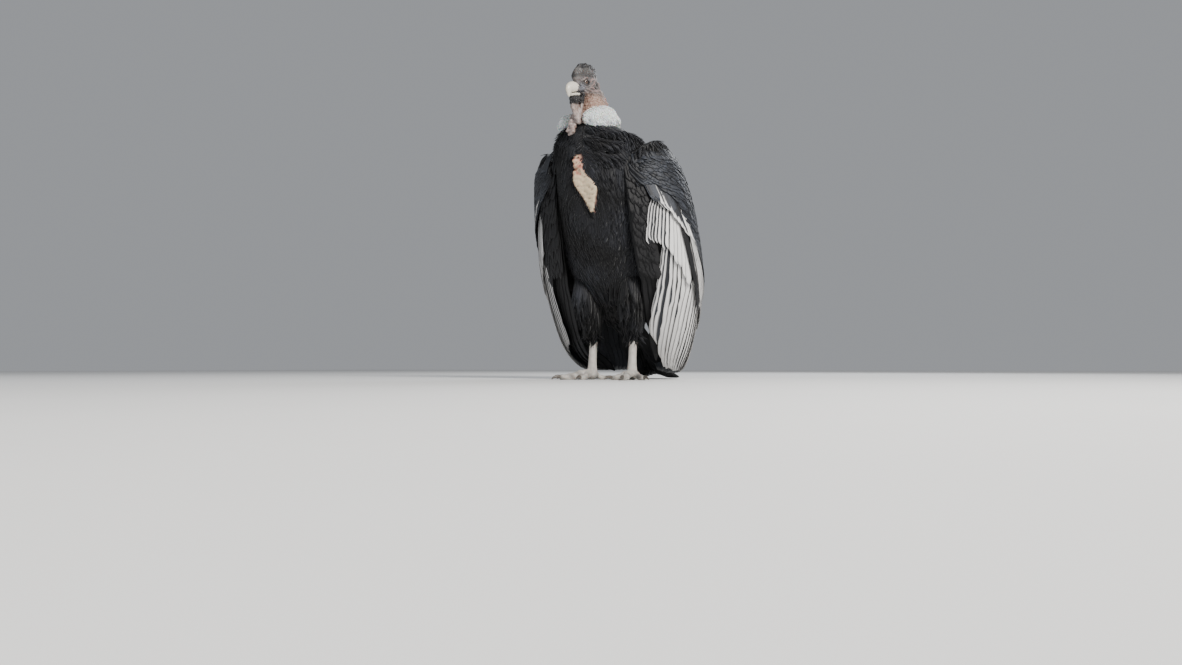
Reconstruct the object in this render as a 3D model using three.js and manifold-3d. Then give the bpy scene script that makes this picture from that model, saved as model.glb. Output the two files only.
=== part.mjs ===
// A male Andean condor at life size, standing upright with both wings drooped like a cloak.
// Millimetres, +Z up. The bird faces -Y and its left side is +X. The floor is the plane z = 0.
// The group is set so that the middle of the bird's footprint box lies at the origin.
import * as THREE from "three";
import { mergeVertices } from "three/addons/utils/BufferGeometryUtils.js";
import Module from "manifold-3d";

const wasm = await Module();
wasm.setup();

const mix = THREE.MathUtils.lerp;
const rad = THREE.MathUtils.degToRad;
const vec = (x, y, z) => new THREE.Vector3(x, y, z);

// Gap kept between pieces that touch
const gap = 0.45;
// Points closer than this are one
const hair = 0.03;

// Torso rings: height, half width, half depth, centre line's y
const torsoRows = [
  [150, 30, 34, 138],
  [185, 58, 66, 116],
  [230, 92, 98, 84],
  [300, 130, 128, 42],
  [380, 146, 146, 8],
  [470, 152, 160, -18],
  [560, 152, 162, -42],
  [650, 148, 150, -66],
  [710, 142, 126, -88],
  [748, 112, 94, -106],
  [780, 50, 52, -126],
];
const torsoSize = { low: 138, high: 783, parting: 0.055, partingWidth: 0.2 };

// The shell that the folded wings lie on: height, half width, half depth, centre line's y
const cloakRows = [
  [10, 108, 64, 220],
  [40, 142, 92, 194],
  [100, 188, 124, 150],
  [180, 228, 146, 98],
  [270, 256, 164, 56],
  [370, 268, 178, 22],
  [480, 266, 188, -4],
  [590, 258, 186, -14],
  [680, 226, 168, -28],
  [725, 174, 132, -36],
  [760, 102, 84, -42],
];
// Where the wing's front edge tucks in beside the breast, in degrees from the bird's front
const tuck = { from: 84, to: 36, share: 0.13 };
// How far each wing is held out: the left one stands out a little more
const wingSpread = {
  left: [
    [40, 1.12],
    [100, 1.06],
    [180, 1.03],
    [280, 1.02],
    [370, 1],
    [490, 0.965],
    [584, 0.9],
    [661, 0.87],
    [720, 0.93],
  ],
  right: [
    [40, 1.42],
    [100, 1.24],
    [180, 1.06],
    [280, 0.955],
    [370, 0.935],
    [490, 0.91],
    [600, 0.93],
    [692, 1],
    [740, 1.12],
  ],
};

// Lines across the wing: degrees from the bird's front, height
const medianLine = [
  [36, 575],
  [60, 520],
  [80, 432],
  [110, 300],
  [140, 258],
  [176, 245],
];
const wingTop = [
  [36, 668],
  [52, 700],
  [72, 722],
  [120, 738],
  [176, 742],
];
const wingBack = 170;
const wingSplit = 106;

// The bare wedge over the crop: share down it, half width, how far it lies to the left
const cropRows = [
  [0, 14, -20],
  [0.3, 22, -14],
  [0.5, 38, 4],
  [0.75, 22, 18],
  [1, 6, 26],
];

const wingCore = { outward: 12, under: 4, inward: 16, shoulder: 84, below: 24, parting: 60, hand: 53 };
const secondaries = { count: 12, width: 56, thick: 1, apart: 2.2, lap: 15, segments: 4 };
const greaterCoverts = { count: 9, width: 56, thick: 1, apart: 2, lap: 14, segments: 2 };
const medianCoverts = { count: 9, width: 64, thick: 1.1, apart: 2.2, lap: 16, segments: 2 };
const lesserCoverts = { rows: 3, count: 5, width: 94, thick: 1.4, apart: 2.4, lap: 18, segments: 2 };
const primaries = { count: 5, width: 42, thick: 1, apart: 2.2, lap: 14, segments: 4 };
const primaryCoverts = { count: 2, width: 30, thick: 1, apart: 2, lap: 10, segments: 2 };

const tailFan = { pairs: 6, length: 330, width: 52, thick: 0.9, apart: 1.7, spread: 9, segments: 4 };
const tailRoot = vec(0, 150, 200);
const tailBend = vec(0, 318, 16);
const tailTip = vec(0, 392, 20);

const neckLine = [vec(-2, -128, 735), vec(1, -137, 782), vec(4, -145, 822), vec(3, -152, 862)];
const neckRadii = [54, 47, 38, 33];
const ruffRing = {
  centre: vec(-16, -128, 775),
  wide: 62,
  deep: 60,
  lean: 17,
  tube: 36,
  opening: 27,
  turn: -16,
};
const ruffTufts = { rows: 2, count: 7, width: 54, thick: 7 };

const headPlace = { centre: vec(-2, -170, 868), yaw: -9, pitch: 13, size: 0.92 };
// Skull rings: distance forward, half width, half height, rise
const skullRows = [
  [-50, 14, 14, -4],
  [-34, 27, 27, -1],
  [-8, 32, 32, 1],
  [16, 31, 31, 1],
  [38, 25.5, 26, -3],
  [58, 18.5, 21, -6],
  [74, 16, 19, -8],
];
const eye = { forward: 35, rise: 11, apart: 18.5, radius: 9, lid: 2.3 };
const ear = { forward: -9, rise: -3, apart: 30, radius: 5, depth: 5 };
const comb = { forward: 10, rise: 34, long: 60, high: 38, thick: 19, lean: 0.28, lobes: 5 };
const bill = { depth: 17, width: 14.5, from: 60, length: 46, hook: 27 };
const jaw = { width: 11.5, depth: 7, from: 56, length: 40 };

const leg = { apart: 68, tarsus: 12.5, foot: 26 };
const footTurn = { left: 10, right: 36 };
// Toes: name, degrees from the foot's line towards the bird's middle, length, radius
const toes = [
  ["inner", 36, 80, 10.5],
  ["middle", 0, 112, 12],
  ["outer", -40, 86, 10.5],
  ["hind", 168, 46, 9],
];
const clawSize = { length: 30, radius: 6.2 };
const trousers = { count: 8, width: 30, thick: 5, low: 136 };

const looks = {
  black: { color: 0x1a1b20, roughness: 0.75 },
  coverts: { color: 0x23252c, roughness: 0.7 },
  silver: { color: 0xcfcac6, roughness: 0.7 },
  down: { color: 0xf0eeea, roughness: 0.95 },
  neck: { color: 0xb08a7c, roughness: 0.6 },
  crop: { color: 0xe3cda6, roughness: 0.6 },
  face: { color: 0x6d6662, roughness: 0.6 },
  comb: { color: 0x4a4644, roughness: 0.6 },
  ivory: { color: 0xe9e2d2, roughness: 0.35 },
  iris: { color: 0x5a3a20, roughness: 0.1 },
  leg: { color: 0xc9c2b4, roughness: 0.7 },
  claw: { color: 0x35302d, roughness: 0.4 },
};

// A repeatable random stream, so that each build makes the same feathers
let seed = 1;
const restart = (value) => {
  seed = 20417 + value;
};
function chance(low = 0, high = 1) {
  seed = (seed * 1103515245 + 12345) % 2147483648;
  return low + (high - low) * (seed / 2147483648);
}

// Values of a table at x, on smooth curves through its rows
function graded(rows, x) {
  const last = rows.length - 1;
  let i = rows.findIndex((row) => row[0] > x) - 1;
  if (i < 0) i = x <= rows[0][0] ? 0 : last - 1;
  const [a, b] = [rows[i], rows[i + 1]];
  const [before, after] = [rows[Math.max(i - 1, 0)], rows[Math.min(i + 2, last)]];
  const span = b[0] - a[0];
  const t = THREE.MathUtils.clamp((x - a[0]) / span, 0, 1);
  return a.slice(1).map((value, n) => {
    const k = n + 1;
    const slopeA = ((b[k] - before[k]) / (b[0] - before[0])) * span;
    const slopeB = ((after[k] - a[k]) / (after[0] - a[0])) * span;
    const [t2, t3] = [t * t, t * t * t];
    const curve = slopeA * (t3 - 2 * t2 + t) + slopeB * (t3 - t2);
    return value * (2 * t3 - 3 * t2 + 1) + b[k] * (3 * t2 - 2 * t3) + curve;
  });
}

// A closed solid from a geometry, turned the right way out
function solidOf(geometry) {
  const bare = geometry.index ? geometry : mergeVertices(geometry);
  for (const name of ["normal", "uv"]) bare.deleteAttribute(name);
  const merged = mergeVertices(bare, 1e-4);
  const made = new wasm.Mesh({
    numProp: 3,
    vertProperties: new Float32Array(merged.attributes.position.array),
    triVerts: new Uint32Array(merged.index.array),
  });
  const solid = new wasm.Manifold(made);
  if (solid.volume() > 0) return solid;
  for (let i = 0; i < made.triVerts.length; i += 3) {
    [made.triVerts[i], made.triVerts[i + 1]] = [made.triVerts[i + 1], made.triVerts[i]];
  }
  return new wasm.Manifold(made);
}

const join = (solids) => wasm.Manifold.union(solids);
const cut = (solid, ...others) => others.reduce((left, other) => left.subtract(other), solid);

// A sphere whose points are moved: place(angle, share along, unit point) gives each one's new spot
function reshaped(around, along, place) {
  const geometry = new THREE.SphereGeometry(1, around, along);
  const { position, uv } = geometry.attributes;
  for (let i = 0; i < position.count; i++) {
    const row = Math.floor(i / (around + 1));
    const angle = ((i % (around + 1)) % around) * ((2 * Math.PI) / around);
    const unit = vec(position.getX(i), position.getY(i), position.getZ(i));
    const spot = place(angle, row / along, unit);
    position.setXYZ(i, spot.x, spot.y, spot.z);
  }
  return solidOf(geometry);
}

// A closed form along a path: ring(t) gives its centre and two half axes, and swell(angle, t) shapes it
function loft(around, along, ring, { cap = 0.1, swell = () => 1 } = {}) {
  return reshaped(around, along, (angle, share) => {
    const t = mix(share, (1 - Math.cos(Math.PI * share)) / 2, 0.5);
    const end = Math.min(t, 1 - t) / cap;
    const size = end >= 1 ? 1 : Math.sqrt(Math.max(0, 1 - (1 - end) ** 2));
    const { centre, wide, deep } = ring(t);
    const grown = size * swell(angle, t);
    return centre
      .clone()
      .addScaledVector(wide, Math.sin(angle) * grown)
      .addScaledVector(deep, Math.cos(angle) * grown);
  });
}

// An ellipsoid with half sizes along x, y and z
function egg(centre, half, around = 16, along = 10) {
  return reshaped(around, along, (_, __, unit) => unit.multiply(half).add(centre));
}

// A thin plate of even thickness. place(u, v, face) has u from -1 to 1 across, v from 0 to 1 along
// and face 1 or -1. Both faces are split alike.
function leaf(across, along, place) {
  const plane = new THREE.PlaneGeometry(2, 1, across, along);
  const count = plane.attributes.position.count;
  const points = [];
  for (const face of [1, -1]) {
    for (let i = 0; i < count; i++) {
      const u = plane.attributes.position.getX(i);
      const v = 0.5 - plane.attributes.position.getY(i);
      points.push(...place(u, v, face).toArray());
    }
  }
  const front = Array.from(plane.index.array);
  const index = [...front];
  for (let i = 0; i < front.length; i += 3) {
    index.push(front[i + 2] + count, front[i + 1] + count, front[i] + count);
  }
  const columns = across + 1;
  const rim = [];
  for (let r = 0; r < along; r++) rim.push(r * columns);
  for (let c = 0; c < across; c++) rim.push(along * columns + c);
  for (let r = along; r > 0; r--) rim.push(r * columns + across);
  for (let c = across; c > 0; c--) rim.push(c);
  rim.forEach((a, n) => {
    const b = rim[(n + 1) % rim.length];
    index.push(b, a, a + count, b, a + count, b + count);
  });
  const geometry = new THREE.BufferGeometry();
  geometry.setAttribute("position", new THREE.BufferAttribute(new Float32Array(points), 3));
  geometry.setIndex(index);
  return solidOf(geometry);
}

// Share of a feather's full width at t, narrow at the root and rounded at the tip
const featherOutline = (t) => {
  const tip = Math.max(0, (t - 0.78) / 0.225);
  return Math.min(1, 0.55 + 2.2 * t) * Math.sqrt(Math.max(0.05, 1 - tip ** 2));
};
const pointedOutline = (t) => {
  const tip = Math.max(0, (t - 0.4) / 0.62);
  return Math.min(1, 0.6 + 2 * t) * Math.max(0.12, 1 - tip ** 1.6);
};

// One feather or lock. spine(t) gives a point, the way out of the surface there and how far it leans.
function vane(spine, { width, thick, segments, outline = featherOutline }) {
  const step = 0.02;
  return leaf(1, segments, (u, v, face) => {
    const { point, out, lean = 0, room = width } = spine(v);
    const ahead = spine(Math.min(1, v + step)).point.sub(spine(Math.max(0, v - step)).point).normalize();
    const side = ahead.clone().cross(out).normalize();
    const up = side.clone().cross(ahead).normalize();
    const half = (Math.min(width, room) / 2) * outline(v);
    return point
      .clone()
      .addScaledVector(side, u * half * Math.cos(lean) - (face * thick * Math.sin(lean)) / 2)
      .addScaledVector(up, u * half * Math.sin(lean) + (face * thick * mix(1, 0.6, v)) / 2);
  });
}

// A point of the torso's skin. angle runs from the bird's front round by its left.
function torsoPoint(angle, height, grow) {
  const [wide, deep, middle] = graded(torsoRows, height);
  const turned = Math.atan2(Math.sin(angle), Math.cos(angle));
  const { smoothstep } = THREE.MathUtils;
  const breast = smoothstep(height, 430, 560) * (1 - smoothstep(height, 700, 760));
  const groove = 1 - torsoSize.parting * breast * Math.exp(-((turned / torsoSize.partingWidth) ** 2));
  return vec(
    Math.sin(angle) * (wide + grow) * groove,
    middle - Math.cos(angle) * (deep + grow) * groove,
    height,
  );
}

function torsoForm(grow = 0) {
  const { low, high } = torsoSize;
  return reshaped(24, 13, (angle, share) => {
    const t = mix(share, (1 - Math.cos(Math.PI * share)) / 2, 0.35);
    const height = mix(high + grow, low - grow, t);
    const end = Math.min(t, 1 - t) / 0.05;
    const size = end >= 1 ? 1 : Math.sqrt(Math.max(0, 1 - (1 - end) ** 2));
    const axis = vec(0, graded(torsoRows, height)[2], height);
    return axis.lerp(torsoPoint(angle, height, grow), size);
  });
}

// A point on the wings' shell and the way out of it. angle is in degrees from the bird's front.
function cloakSpot(side, angle, height) {
  const [spread] = graded(side > 0 ? wingSpread.left : wingSpread.right, height);
  const [wide, deep, middle] = graded(cloakRows, height);
  const tucked = 1 - tuck.share * (1 - THREE.MathUtils.smoothstep(angle, tuck.to, tuck.from));
  return vec(
    side * Math.sin(rad(angle)) * wide * spread * tucked,
    middle - Math.cos(rad(angle)) * deep * tucked,
    height,
  );
}

function cloak(side, angle, height, lift = 0) {
  const here = cloakSpot(side, angle, height);
  const round = cloakSpot(side, angle + 1, height).sub(cloakSpot(side, angle - 1, height));
  const down = cloakSpot(side, angle, height - 4).sub(cloakSpot(side, angle, height + 4));
  const out = down.cross(round).multiplyScalar(side).normalize();
  return { point: here.addScaledVector(out, lift), out };
}

// A padded patch of the shell between two angles and two lines of height
function patch(side, angles, low, high, lift, around = 20, along = 12, square = 0.62) {
  const full = (x) => Math.sign(x) * Math.abs(x) ** square;
  return reshaped(around, along, (_, __, unit) => {
    const angle = mix(angles[0], angles[1], (full(unit.x) + 1) / 2);
    const height = mix(low(angle), high(angle), (full(unit.y) + 1) / 2);
    return cloak(side, angle, height, lift(unit.z, angle, height)).point;
  });
}

// A feather on the shell from one height to another. path(height) is its angle and next(height) how
// far round its neighbour lies. Each one leans over the last, and is as wide as the two overlap.
function wingVane(side, path, next, [high, low], lifts, size, grow = 0) {
  const heights = [high + grow, low - grow];
  const at = (height, round = 0) => cloak(side, path(height) + round, height);
  const spine = (t) => {
    const height = mix(heights[0], heights[1], t);
    const here = at(height);
    const there = at(height, next(height));
    const ahead = at(height - 3).point.sub(at(height + 3).point).normalize();
    const apart = there.point.clone().sub(here.point);
    const step = apart.projectOnPlane(here.out).projectOnPlane(ahead).length();
    const bend = here.out.angleTo(there.out);
    const lean = side * Math.asin(Math.min(0.45, (size.apart + (size.lap * bend) / 2) / step));
    const point = here.point.addScaledVector(here.out, mix(lifts[0], lifts[1], t));
    return { point, out: here.out, lean, room: step + size.lap + 2 * grow };
  };
  return vane(spine, { ...size, width: size.width + 2 * grow, thick: size.thick + 2 * grow });
}

// A straight run between two angles at two heights
const slant = (angles, heights) => (height) =>
  mix(angles[0], angles[1], (height - heights[0]) / (heights[1] - heights[0]));

const medianAt = (angle) => graded(medianLine, angle)[0];
const topAt = (angle) => graded(wingTop, angle)[0];

// A wedge round the bird's axis between two angles, from a line of height up, to part the wing with
function wedge(side, from, to, line) {
  return leaf(8, 1, (u, v, face) => {
    const angle = mix(from, to, (u + 1) / 2);
    const reach = face > 0 ? 600 : 12;
    const height = v > 0.5 ? line(angle) : 1200;
    return vec(side * Math.sin(rad(angle)) * reach, -Math.cos(rad(angle)) * reach, height);
  });
}

function wingBody(side, outward, grow = 0) {
  const lift = (z, angle, height) => {
    const { smoothstep } = THREE.MathUtils;
    const shoulder = smoothstep(height, 580, 680) * smoothstep(angle, 40, 64);
    const inward = mix(wingCore.inward, wingCore.shoulder, shoulder);
    return z * ((z > 0 ? outward : inward) + grow);
  };
  const low = (angle) => medianAt(angle) - wingCore.below - grow;
  return patch(side, [36, wingBack], low, (angle) => topAt(angle) + grow, lift, 14, 8);
}

// The wing is parted behind the elbow: its front half is the forearm's, its back half the shoulder's
function half(side, back, grow) {
  const edge = wingSplit + (back ? 1 : -1) * (0.15 - grow / 2);
  return back ? wedge(side, edge, 190, () => 0) : wedge(side, 10, edge, () => 0);
}

function armForm(side, back, grow = 0) {
  restart(side + (back ? 2 : 0));
  const part = wedge(side, 20, 190, (a) => medianAt(a) + wingCore.parting - grow);
  const whole = wingBody(side, wingCore.outward, grow).intersect(part);
  const pieces = [whole.intersect(half(side, back, grow))];
  const place = (angle, sweep, high, low, size, round, lifts) => {
    const heights = [high, low];
    const path = slant([angle, angle + sweep], heights);
    pieces.push(wingVane(side, path, () => round / size.count, heights, lifts, size, grow));
  };
  for (let i = 0; i < medianCoverts.count; i++) {
    const share = i / (medianCoverts.count - 1);
    const angle = mix(53, wingBack - 5, share);
    const sweep = mix(11, 1, Math.sqrt(share));
    if (angle > wingSplit !== back) continue;
    const line = medianAt(angle + sweep);
    place(angle, sweep, line + 118, line + chance(-8, 4), medianCoverts, 112, [6, 15]);
  }
  for (let row = 0; row < lesserCoverts.rows; row++) {
    for (let i = 0; i < lesserCoverts.count; i++) {
      const share = (i + (row % 2) / 2) / lesserCoverts.count;
      const angle = mix(48, wingBack - 4, share);
      const sweep = mix(10, 2, share);
      if (angle > wingSplit !== back) continue;
      const depth = topAt(angle) - medianAt(angle) - 70;
      const tip = medianAt(angle + sweep) + 52 + (depth * row) / lesserCoverts.rows + chance(-6, 6);
      place(angle, sweep, tip + mix(72, 120, share), tip, lesserCoverts, 120, [4, 19 + row * 0.5]);
    }
  }
  return join(pieces);
}

function secondariesForm(side, back, grow = 0) {
  restart(side + (back ? 12 : 10));
  const part = wedge(side, 20, 190, (a) => medianAt(a) + wingCore.parting - gap);
  const front = wedge(side, 0, wingCore.hand, () => 0);
  const whole = wingBody(side, wingCore.under, grow).intersect(half(side, back, grow));
  const pieces = [cut(whole, part, front)];
  for (let i = 0; i < secondaries.count; i++) {
    const share = i / (secondaries.count - 1);
    const angle = mix(57, wingBack - 4, share);
    if (angle > wingSplit !== back) continue;
    const low = mix(152, 30, THREE.MathUtils.smoothstep(share, -0.1, 0.6)) + chance(-5, 5);
    const heights = [medianAt(angle) + 24, low];
    const path = slant([angle, mix(46, 162, share)], heights);
    pieces.push(wingVane(side, path, () => 116 / 11, heights, [-2, -3], secondaries, grow));
  }
  for (let i = 0; i < greaterCoverts.count; i++) {
    const share = i / (greaterCoverts.count - 1);
    const angle = mix(57, wingBack - 4, share);
    if (angle > wingSplit !== back) continue;
    const line = medianAt(angle);
    const heights = [line + 30, line - mix(150, 100, share) + chance(-5, 5)];
    pieces.push(wingVane(side, () => angle, () => 113 / 8, heights, [1.5, 9], greaterCoverts, grow));
  }
  return join(pieces);
}

function primariesForm(side) {
  restart(side + 20);
  const lift = (z) => -5 + (z > 0 ? z * 1.5 : z * 11);
  const hand = patch(side, [30, 62], () => 410, () => 664, lift, 10, 6);
  const arm = wedge(side, 20, 190, (a) => medianAt(a) + wingCore.parting - gap);
  const pieces = [cut(hand, wedge(side, wingCore.hand - 0.15, 190, () => 0), arm)];
  // They run down the front edge, then sweep back under the secondaries
  const swept = (height) => THREE.MathUtils.clamp((520 - height) / 470, 0, 1) ** 1.6;
  for (let i = 0; i < primaries.count; i++) {
    const share = i / (primaries.count - 1);
    const path = (height) => mix(mix(36, 44, share), mix(41, 144, share), swept(height));
    const next = (height) => mix(8, 103, swept(height)) / (primaries.count - 1);
    const heights = [mix(540, 450, share), mix(40, 26, share) + chance(-4, 4)];
    pieces.push(wingVane(side, path, next, heights, [-10, -21], primaries));
  }
  for (let i = 0; i < primaryCoverts.count; i++) {
    const share = i / (primaryCoverts.count - 1);
    const angle = mix(39, 44.5, share);
    const heights = [mix(580, 560, share), mix(370, 345, share) + chance(-5, 5)];
    pieces.push(wingVane(side, () => angle, () => 5.5, heights, [-5, -1], primaryCoverts));
  }
  return join(pieces);
}

function tailForm() {
  restart(40);
  const base = loft(
    12,
    6,
    (t) => ({
      centre: vec(0, mix(112, 205, t), mix(256, 158, t)),
      wide: vec(mix(60, 42, t), 0, 0),
      deep: vec(0, mix(30, 10, t), mix(30, 10, t)),
    }),
    { cap: 0.4 },
  );
  const pieces = [base];
  const middle = new THREE.QuadraticBezierCurve3(tailRoot, tailBend, tailTip);
  for (let pair = 0; pair < tailFan.pairs; pair++) {
    for (const side of [-1, 1]) {
      const fan = rad(side * (pair + 0.5) * (tailFan.spread / tailFan.pairs));
      const under = (2 * pair + (side > 0 ? 1 : 0)) * tailFan.apart;
      const reach = 1 - 0.014 * pair + chance(-0.01, 0.01);
      const spine = (t) => {
        const ahead = middle.getTangent(t * reach);
        const out = vec(0, -ahead.z, ahead.y);
        const point = middle.getPoint(t * reach).addScaledVector(out, -under);
        point.x = side * (3 + pair * 4) + Math.sin(fan) * t * tailFan.length;
        return { point, out };
      };
      pieces.push(vane(spine, tailFan));
    }
  }
  return join(pieces);
}

function neckForm(grow = 0) {
  const curve = new THREE.CatmullRomCurve3(neckLine);
  return loft(
    12,
    9,
    (t) => {
      const centre = curve.getPoint(t);
      const size = graded(neckRadii.map((r, i) => [i / (neckRadii.length - 1), r]), t)[0] + grow;
      const ahead = curve.getTangent(t);
      const wide = vec(1, 0, 0).multiplyScalar(size);
      const deep = ahead.clone().cross(vec(1, 0, 0)).normalize().multiplyScalar(size * 1.04);
      return { centre, wide, deep };
    },
    {
      cap: 0.06,
      swell: (angle, t) => 1 + (grow ? 0 : 0.03 * Math.sin(t * 26 + 2.2 * Math.sin(angle))),
    },
  );
}

function headMatrix() {
  const turn = new THREE.Quaternion().setFromEuler(
    new THREE.Euler(rad(headPlace.pitch), 0, rad(headPlace.yaw), "ZYX"),
  );
  const size = vec(1, 1, 1).multiplyScalar(headPlace.size);
  return new THREE.Matrix4().compose(headPlace.centre, turn, size);
}
const onHead = (solid) => solid.transform(headMatrix().toArray());

function skull(grow = 0) {
  const [from, to] = [skullRows[0][0] - 8, skullRows[skullRows.length - 1][0]];
  return loft(
    16,
    10,
    (t) => {
      const forward = mix(from, to, t);
      const [wide, high, rise] = graded(skullRows, forward);
      return {
        centre: vec(0, -forward, rise),
        wide: vec(wide + grow, 0, 0),
        deep: vec(0, 0, high + grow),
      };
    },
    { cap: 0.07, swell: (angle) => 1 - 0.07 * Math.sin(angle) ** 2 * Math.cos(angle) ** 2 },
  );
}

const eyeCentre = (side) => vec(side * eye.apart, -eye.forward, eye.rise);
const eyeBall = (side, grow = 0) =>
  egg(eyeCentre(side), vec(1, 1, 1).multiplyScalar(eye.radius + grow), 10, 6);

function lidRing(side, grow = 0) {
  const ring = new THREE.TorusGeometry(eye.radius * 0.98, eye.lid + grow, 4, 10);
  ring.scale(1.12, 0.9, 1);
  ring.rotateY((side * Math.PI) / 2);
  ring.rotateZ(-side * rad(10));
  const place = eyeCentre(side);
  ring.translate(place.x + side * 4.6, place.y - 0.8, place.z);
  return solidOf(ring);
}

function earRing(side, grow = 0) {
  const ring = new THREE.TorusGeometry(ear.radius, 2 + grow, 4, 7);
  ring.rotateY((side * Math.PI) / 2);
  ring.translate(side * (ear.apart - 2.4), -ear.forward, ear.rise);
  return solidOf(ring);
}

function billForm(grow = 0) {
  const line = new THREE.CatmullRomCurve3([
    vec(0, -bill.from, -5),
    vec(0, -bill.from - bill.length * 0.45, -2),
    vec(0, -bill.from - bill.length * 0.88, -9),
    vec(0, -bill.from - bill.length, -bill.hook - 6),
  ]);
  return loft(
    14,
    9,
    (t) => {
      const centre = line.getPoint(t);
      const ahead = line.getTangent(t);
      const [wide, deep] = graded([[0, 1, 0.92], [0.35, 0.95, 1], [0.7, 0.66, 0.82], [1, 0.22, 0.3]], t);
      return {
        centre,
        wide: vec(bill.width * wide + grow, 0, 0),
        deep: vec(1, 0, 0).cross(ahead).normalize().multiplyScalar(bill.depth * deep + grow),
      };
    },
    { cap: 0.06 },
  );
}

function jawForm(grow = 0) {
  return loft(
    10,
    6,
    (t) => ({
      centre: vec(0, -jaw.from - jaw.length * t, -24 - 2 * t),
      wide: vec(jaw.width * mix(1, 0.55, t * t) + grow, 0, 0),
      deep: vec(0, 0, jaw.depth * mix(1, 0.55, t) + grow),
    }),
    { cap: 0.12 },
  );
}

function combForm() {
  return reshaped(14, 8, (_, __, unit) => {
    const turn = Math.atan2(unit.z, unit.y);
    const lobe = 1 + 0.045 * Math.cos(comb.lobes * turn + 0.6) * Math.max(0, unit.z);
    const thick = comb.thick * mix(1, 0.6, Math.max(0, unit.z));
    return vec(
      unit.x * thick + comb.lean * comb.high * Math.max(0, unit.z),
      -comb.forward - unit.y * comb.long * lobe,
      comb.rise + unit.z * comb.high * lobe + unit.y * 1.5,
    );
  });
}

// Wattle that hangs under the lower bill
const wattle = (grow = 0) => egg(vec(-2, -70, -34), vec(13 + grow, 27 + grow, 19 + grow), 10, 7);
const rings = (grow = 0) => [-1, 1].flatMap((side) => [lidRing(side, grow), earRing(side, grow)]);

function headForms() {
  const mouth = solidOf(new THREE.BoxGeometry(80, 60, 1.2).translate(0, -62, -17.5));
  const slots = [-1, 1].map((side) => egg(vec(side * 16.5, -63, 2), vec(4, 5.5, 2), 6, 4));
  const cup = vec(ear.depth, ear.radius - 1.4, ear.radius - 1);
  const ears = [-1, 1].map((side) => egg(vec(side * ear.apart, -ear.forward, ear.rise), cup, 6, 4));
  const whole = join([skull(), wattle(), ...rings()]);
  const holes = [-1, 1].map((side) => eyeBall(side, gap));
  return {
    head: cut(whole, ...holes, ...slots, ...ears, mouth, billForm(gap), jawForm(gap)),
    bill_upper: cut(billForm(), solidOf(new THREE.BoxGeometry(80, 70, 1).translate(0, -70, -17.5))),
    bill_lower: cut(jawForm(), billForm(gap)),
    comb: cut(combForm(), skull(gap), billForm(gap)),
    eye_left: eyeBall(1),
    eye_right: eyeBall(-1),
  };
}

// Loose skin of the throat and neck: folds along a line, with a half width and a half depth
function fold(points, wide, deep) {
  const curve = new THREE.CatmullRomCurve3(points);
  return loft(
    6,
    6,
    (t) => {
      const ahead = curve.getTangent(t);
      const out = vec(0, -1, 0).projectOnPlane(ahead).normalize();
      return {
        centre: curve.getPoint(t),
        wide: ahead.clone().cross(out).multiplyScalar(wide * mix(1, 0.7, t)),
        deep: out.multiplyScalar(deep * mix(0.8, 1, t)),
      };
    },
    { cap: 0.2 },
  );
}

function ruffPoint(angle, lift, rise) {
  const { centre, wide, deep, lean } = ruffRing;
  const flat = vec(Math.sin(angle) * (wide + lift), -Math.cos(angle) * (deep + lift), rise);
  return flat.applyAxisAngle(vec(1, 0, 0), rad(lean)).add(centre);
}

function ruffForm() {
  restart(30);
  const half = Math.PI - rad(ruffRing.opening);
  const core = loft(
    8,
    12,
    (t) => {
      const angle = Math.PI + rad(ruffRing.turn) + mix(-half, half, t);
      const size = ruffRing.tube * mix(0.75, 1.1, Math.sin(Math.PI * t));
      const centre = ruffPoint(angle, 0, 0);
      return {
        centre,
        wide: ruffPoint(angle, size, 0).sub(centre),
        deep: ruffPoint(angle, 0, size * 0.95).sub(centre),
      };
    },
    { cap: 0.08 },
  );
  const pieces = [core];
  for (let row = 0; row < ruffTufts.rows; row++) {
    for (let i = 0; i < ruffTufts.count; i++) {
      const share = (i + 0.5 * (row % 2) + 0.25) / ruffTufts.count;
      const angle = Math.PI + rad(ruffRing.turn) + mix(-half, half, share) * 0.97;
      const from = rad(mix(78, 10, row / (ruffTufts.rows - 1)));
      const size = ruffRing.tube * mix(0.75, 1.1, Math.sin(Math.PI * share));
      const spine = (t) => {
        const turn = from - t * rad(62);
        const lift = (size - 4 + 5 * t) * Math.cos(turn);
        const rise = (size - 4 + 5 * t) * Math.sin(turn) * 0.9;
        const swing = angle + t * 0.05 * Math.sin(7 * share + row);
        const point = ruffPoint(swing, lift, rise);
        const out = point.clone().sub(ruffPoint(swing, 0, 0)).normalize();
        return { point, out };
      };
      const width = ruffTufts.width * chance(0.85, 1.15);
      pieces.push(vane(spine, { ...ruffTufts, width, segments: 2, outline: pointedOutline }));
    }
  }
  return join(pieces);
}

function thighForm(side, grow = 0) {
  const line = new THREE.CatmullRomCurve3([
    vec(side * 80, 12, 372),
    vec(side * 74, -8, 290),
    vec(side * 70, -4, 205),
    vec(side * leg.apart, 8, 150),
  ]);
  return loft(
    12,
    7,
    (t) => {
      const [wide, deep] = graded([[0, 44, 66], [0.35, 46, 68], [0.7, 38, 48], [1, 23, 28]], t);
      return { centre: line.getPoint(t), wide: vec(wide + grow, 0, 0), deep: vec(0, deep + grow, 0) };
    },
    { cap: 0.08 },
  );
}

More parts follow.
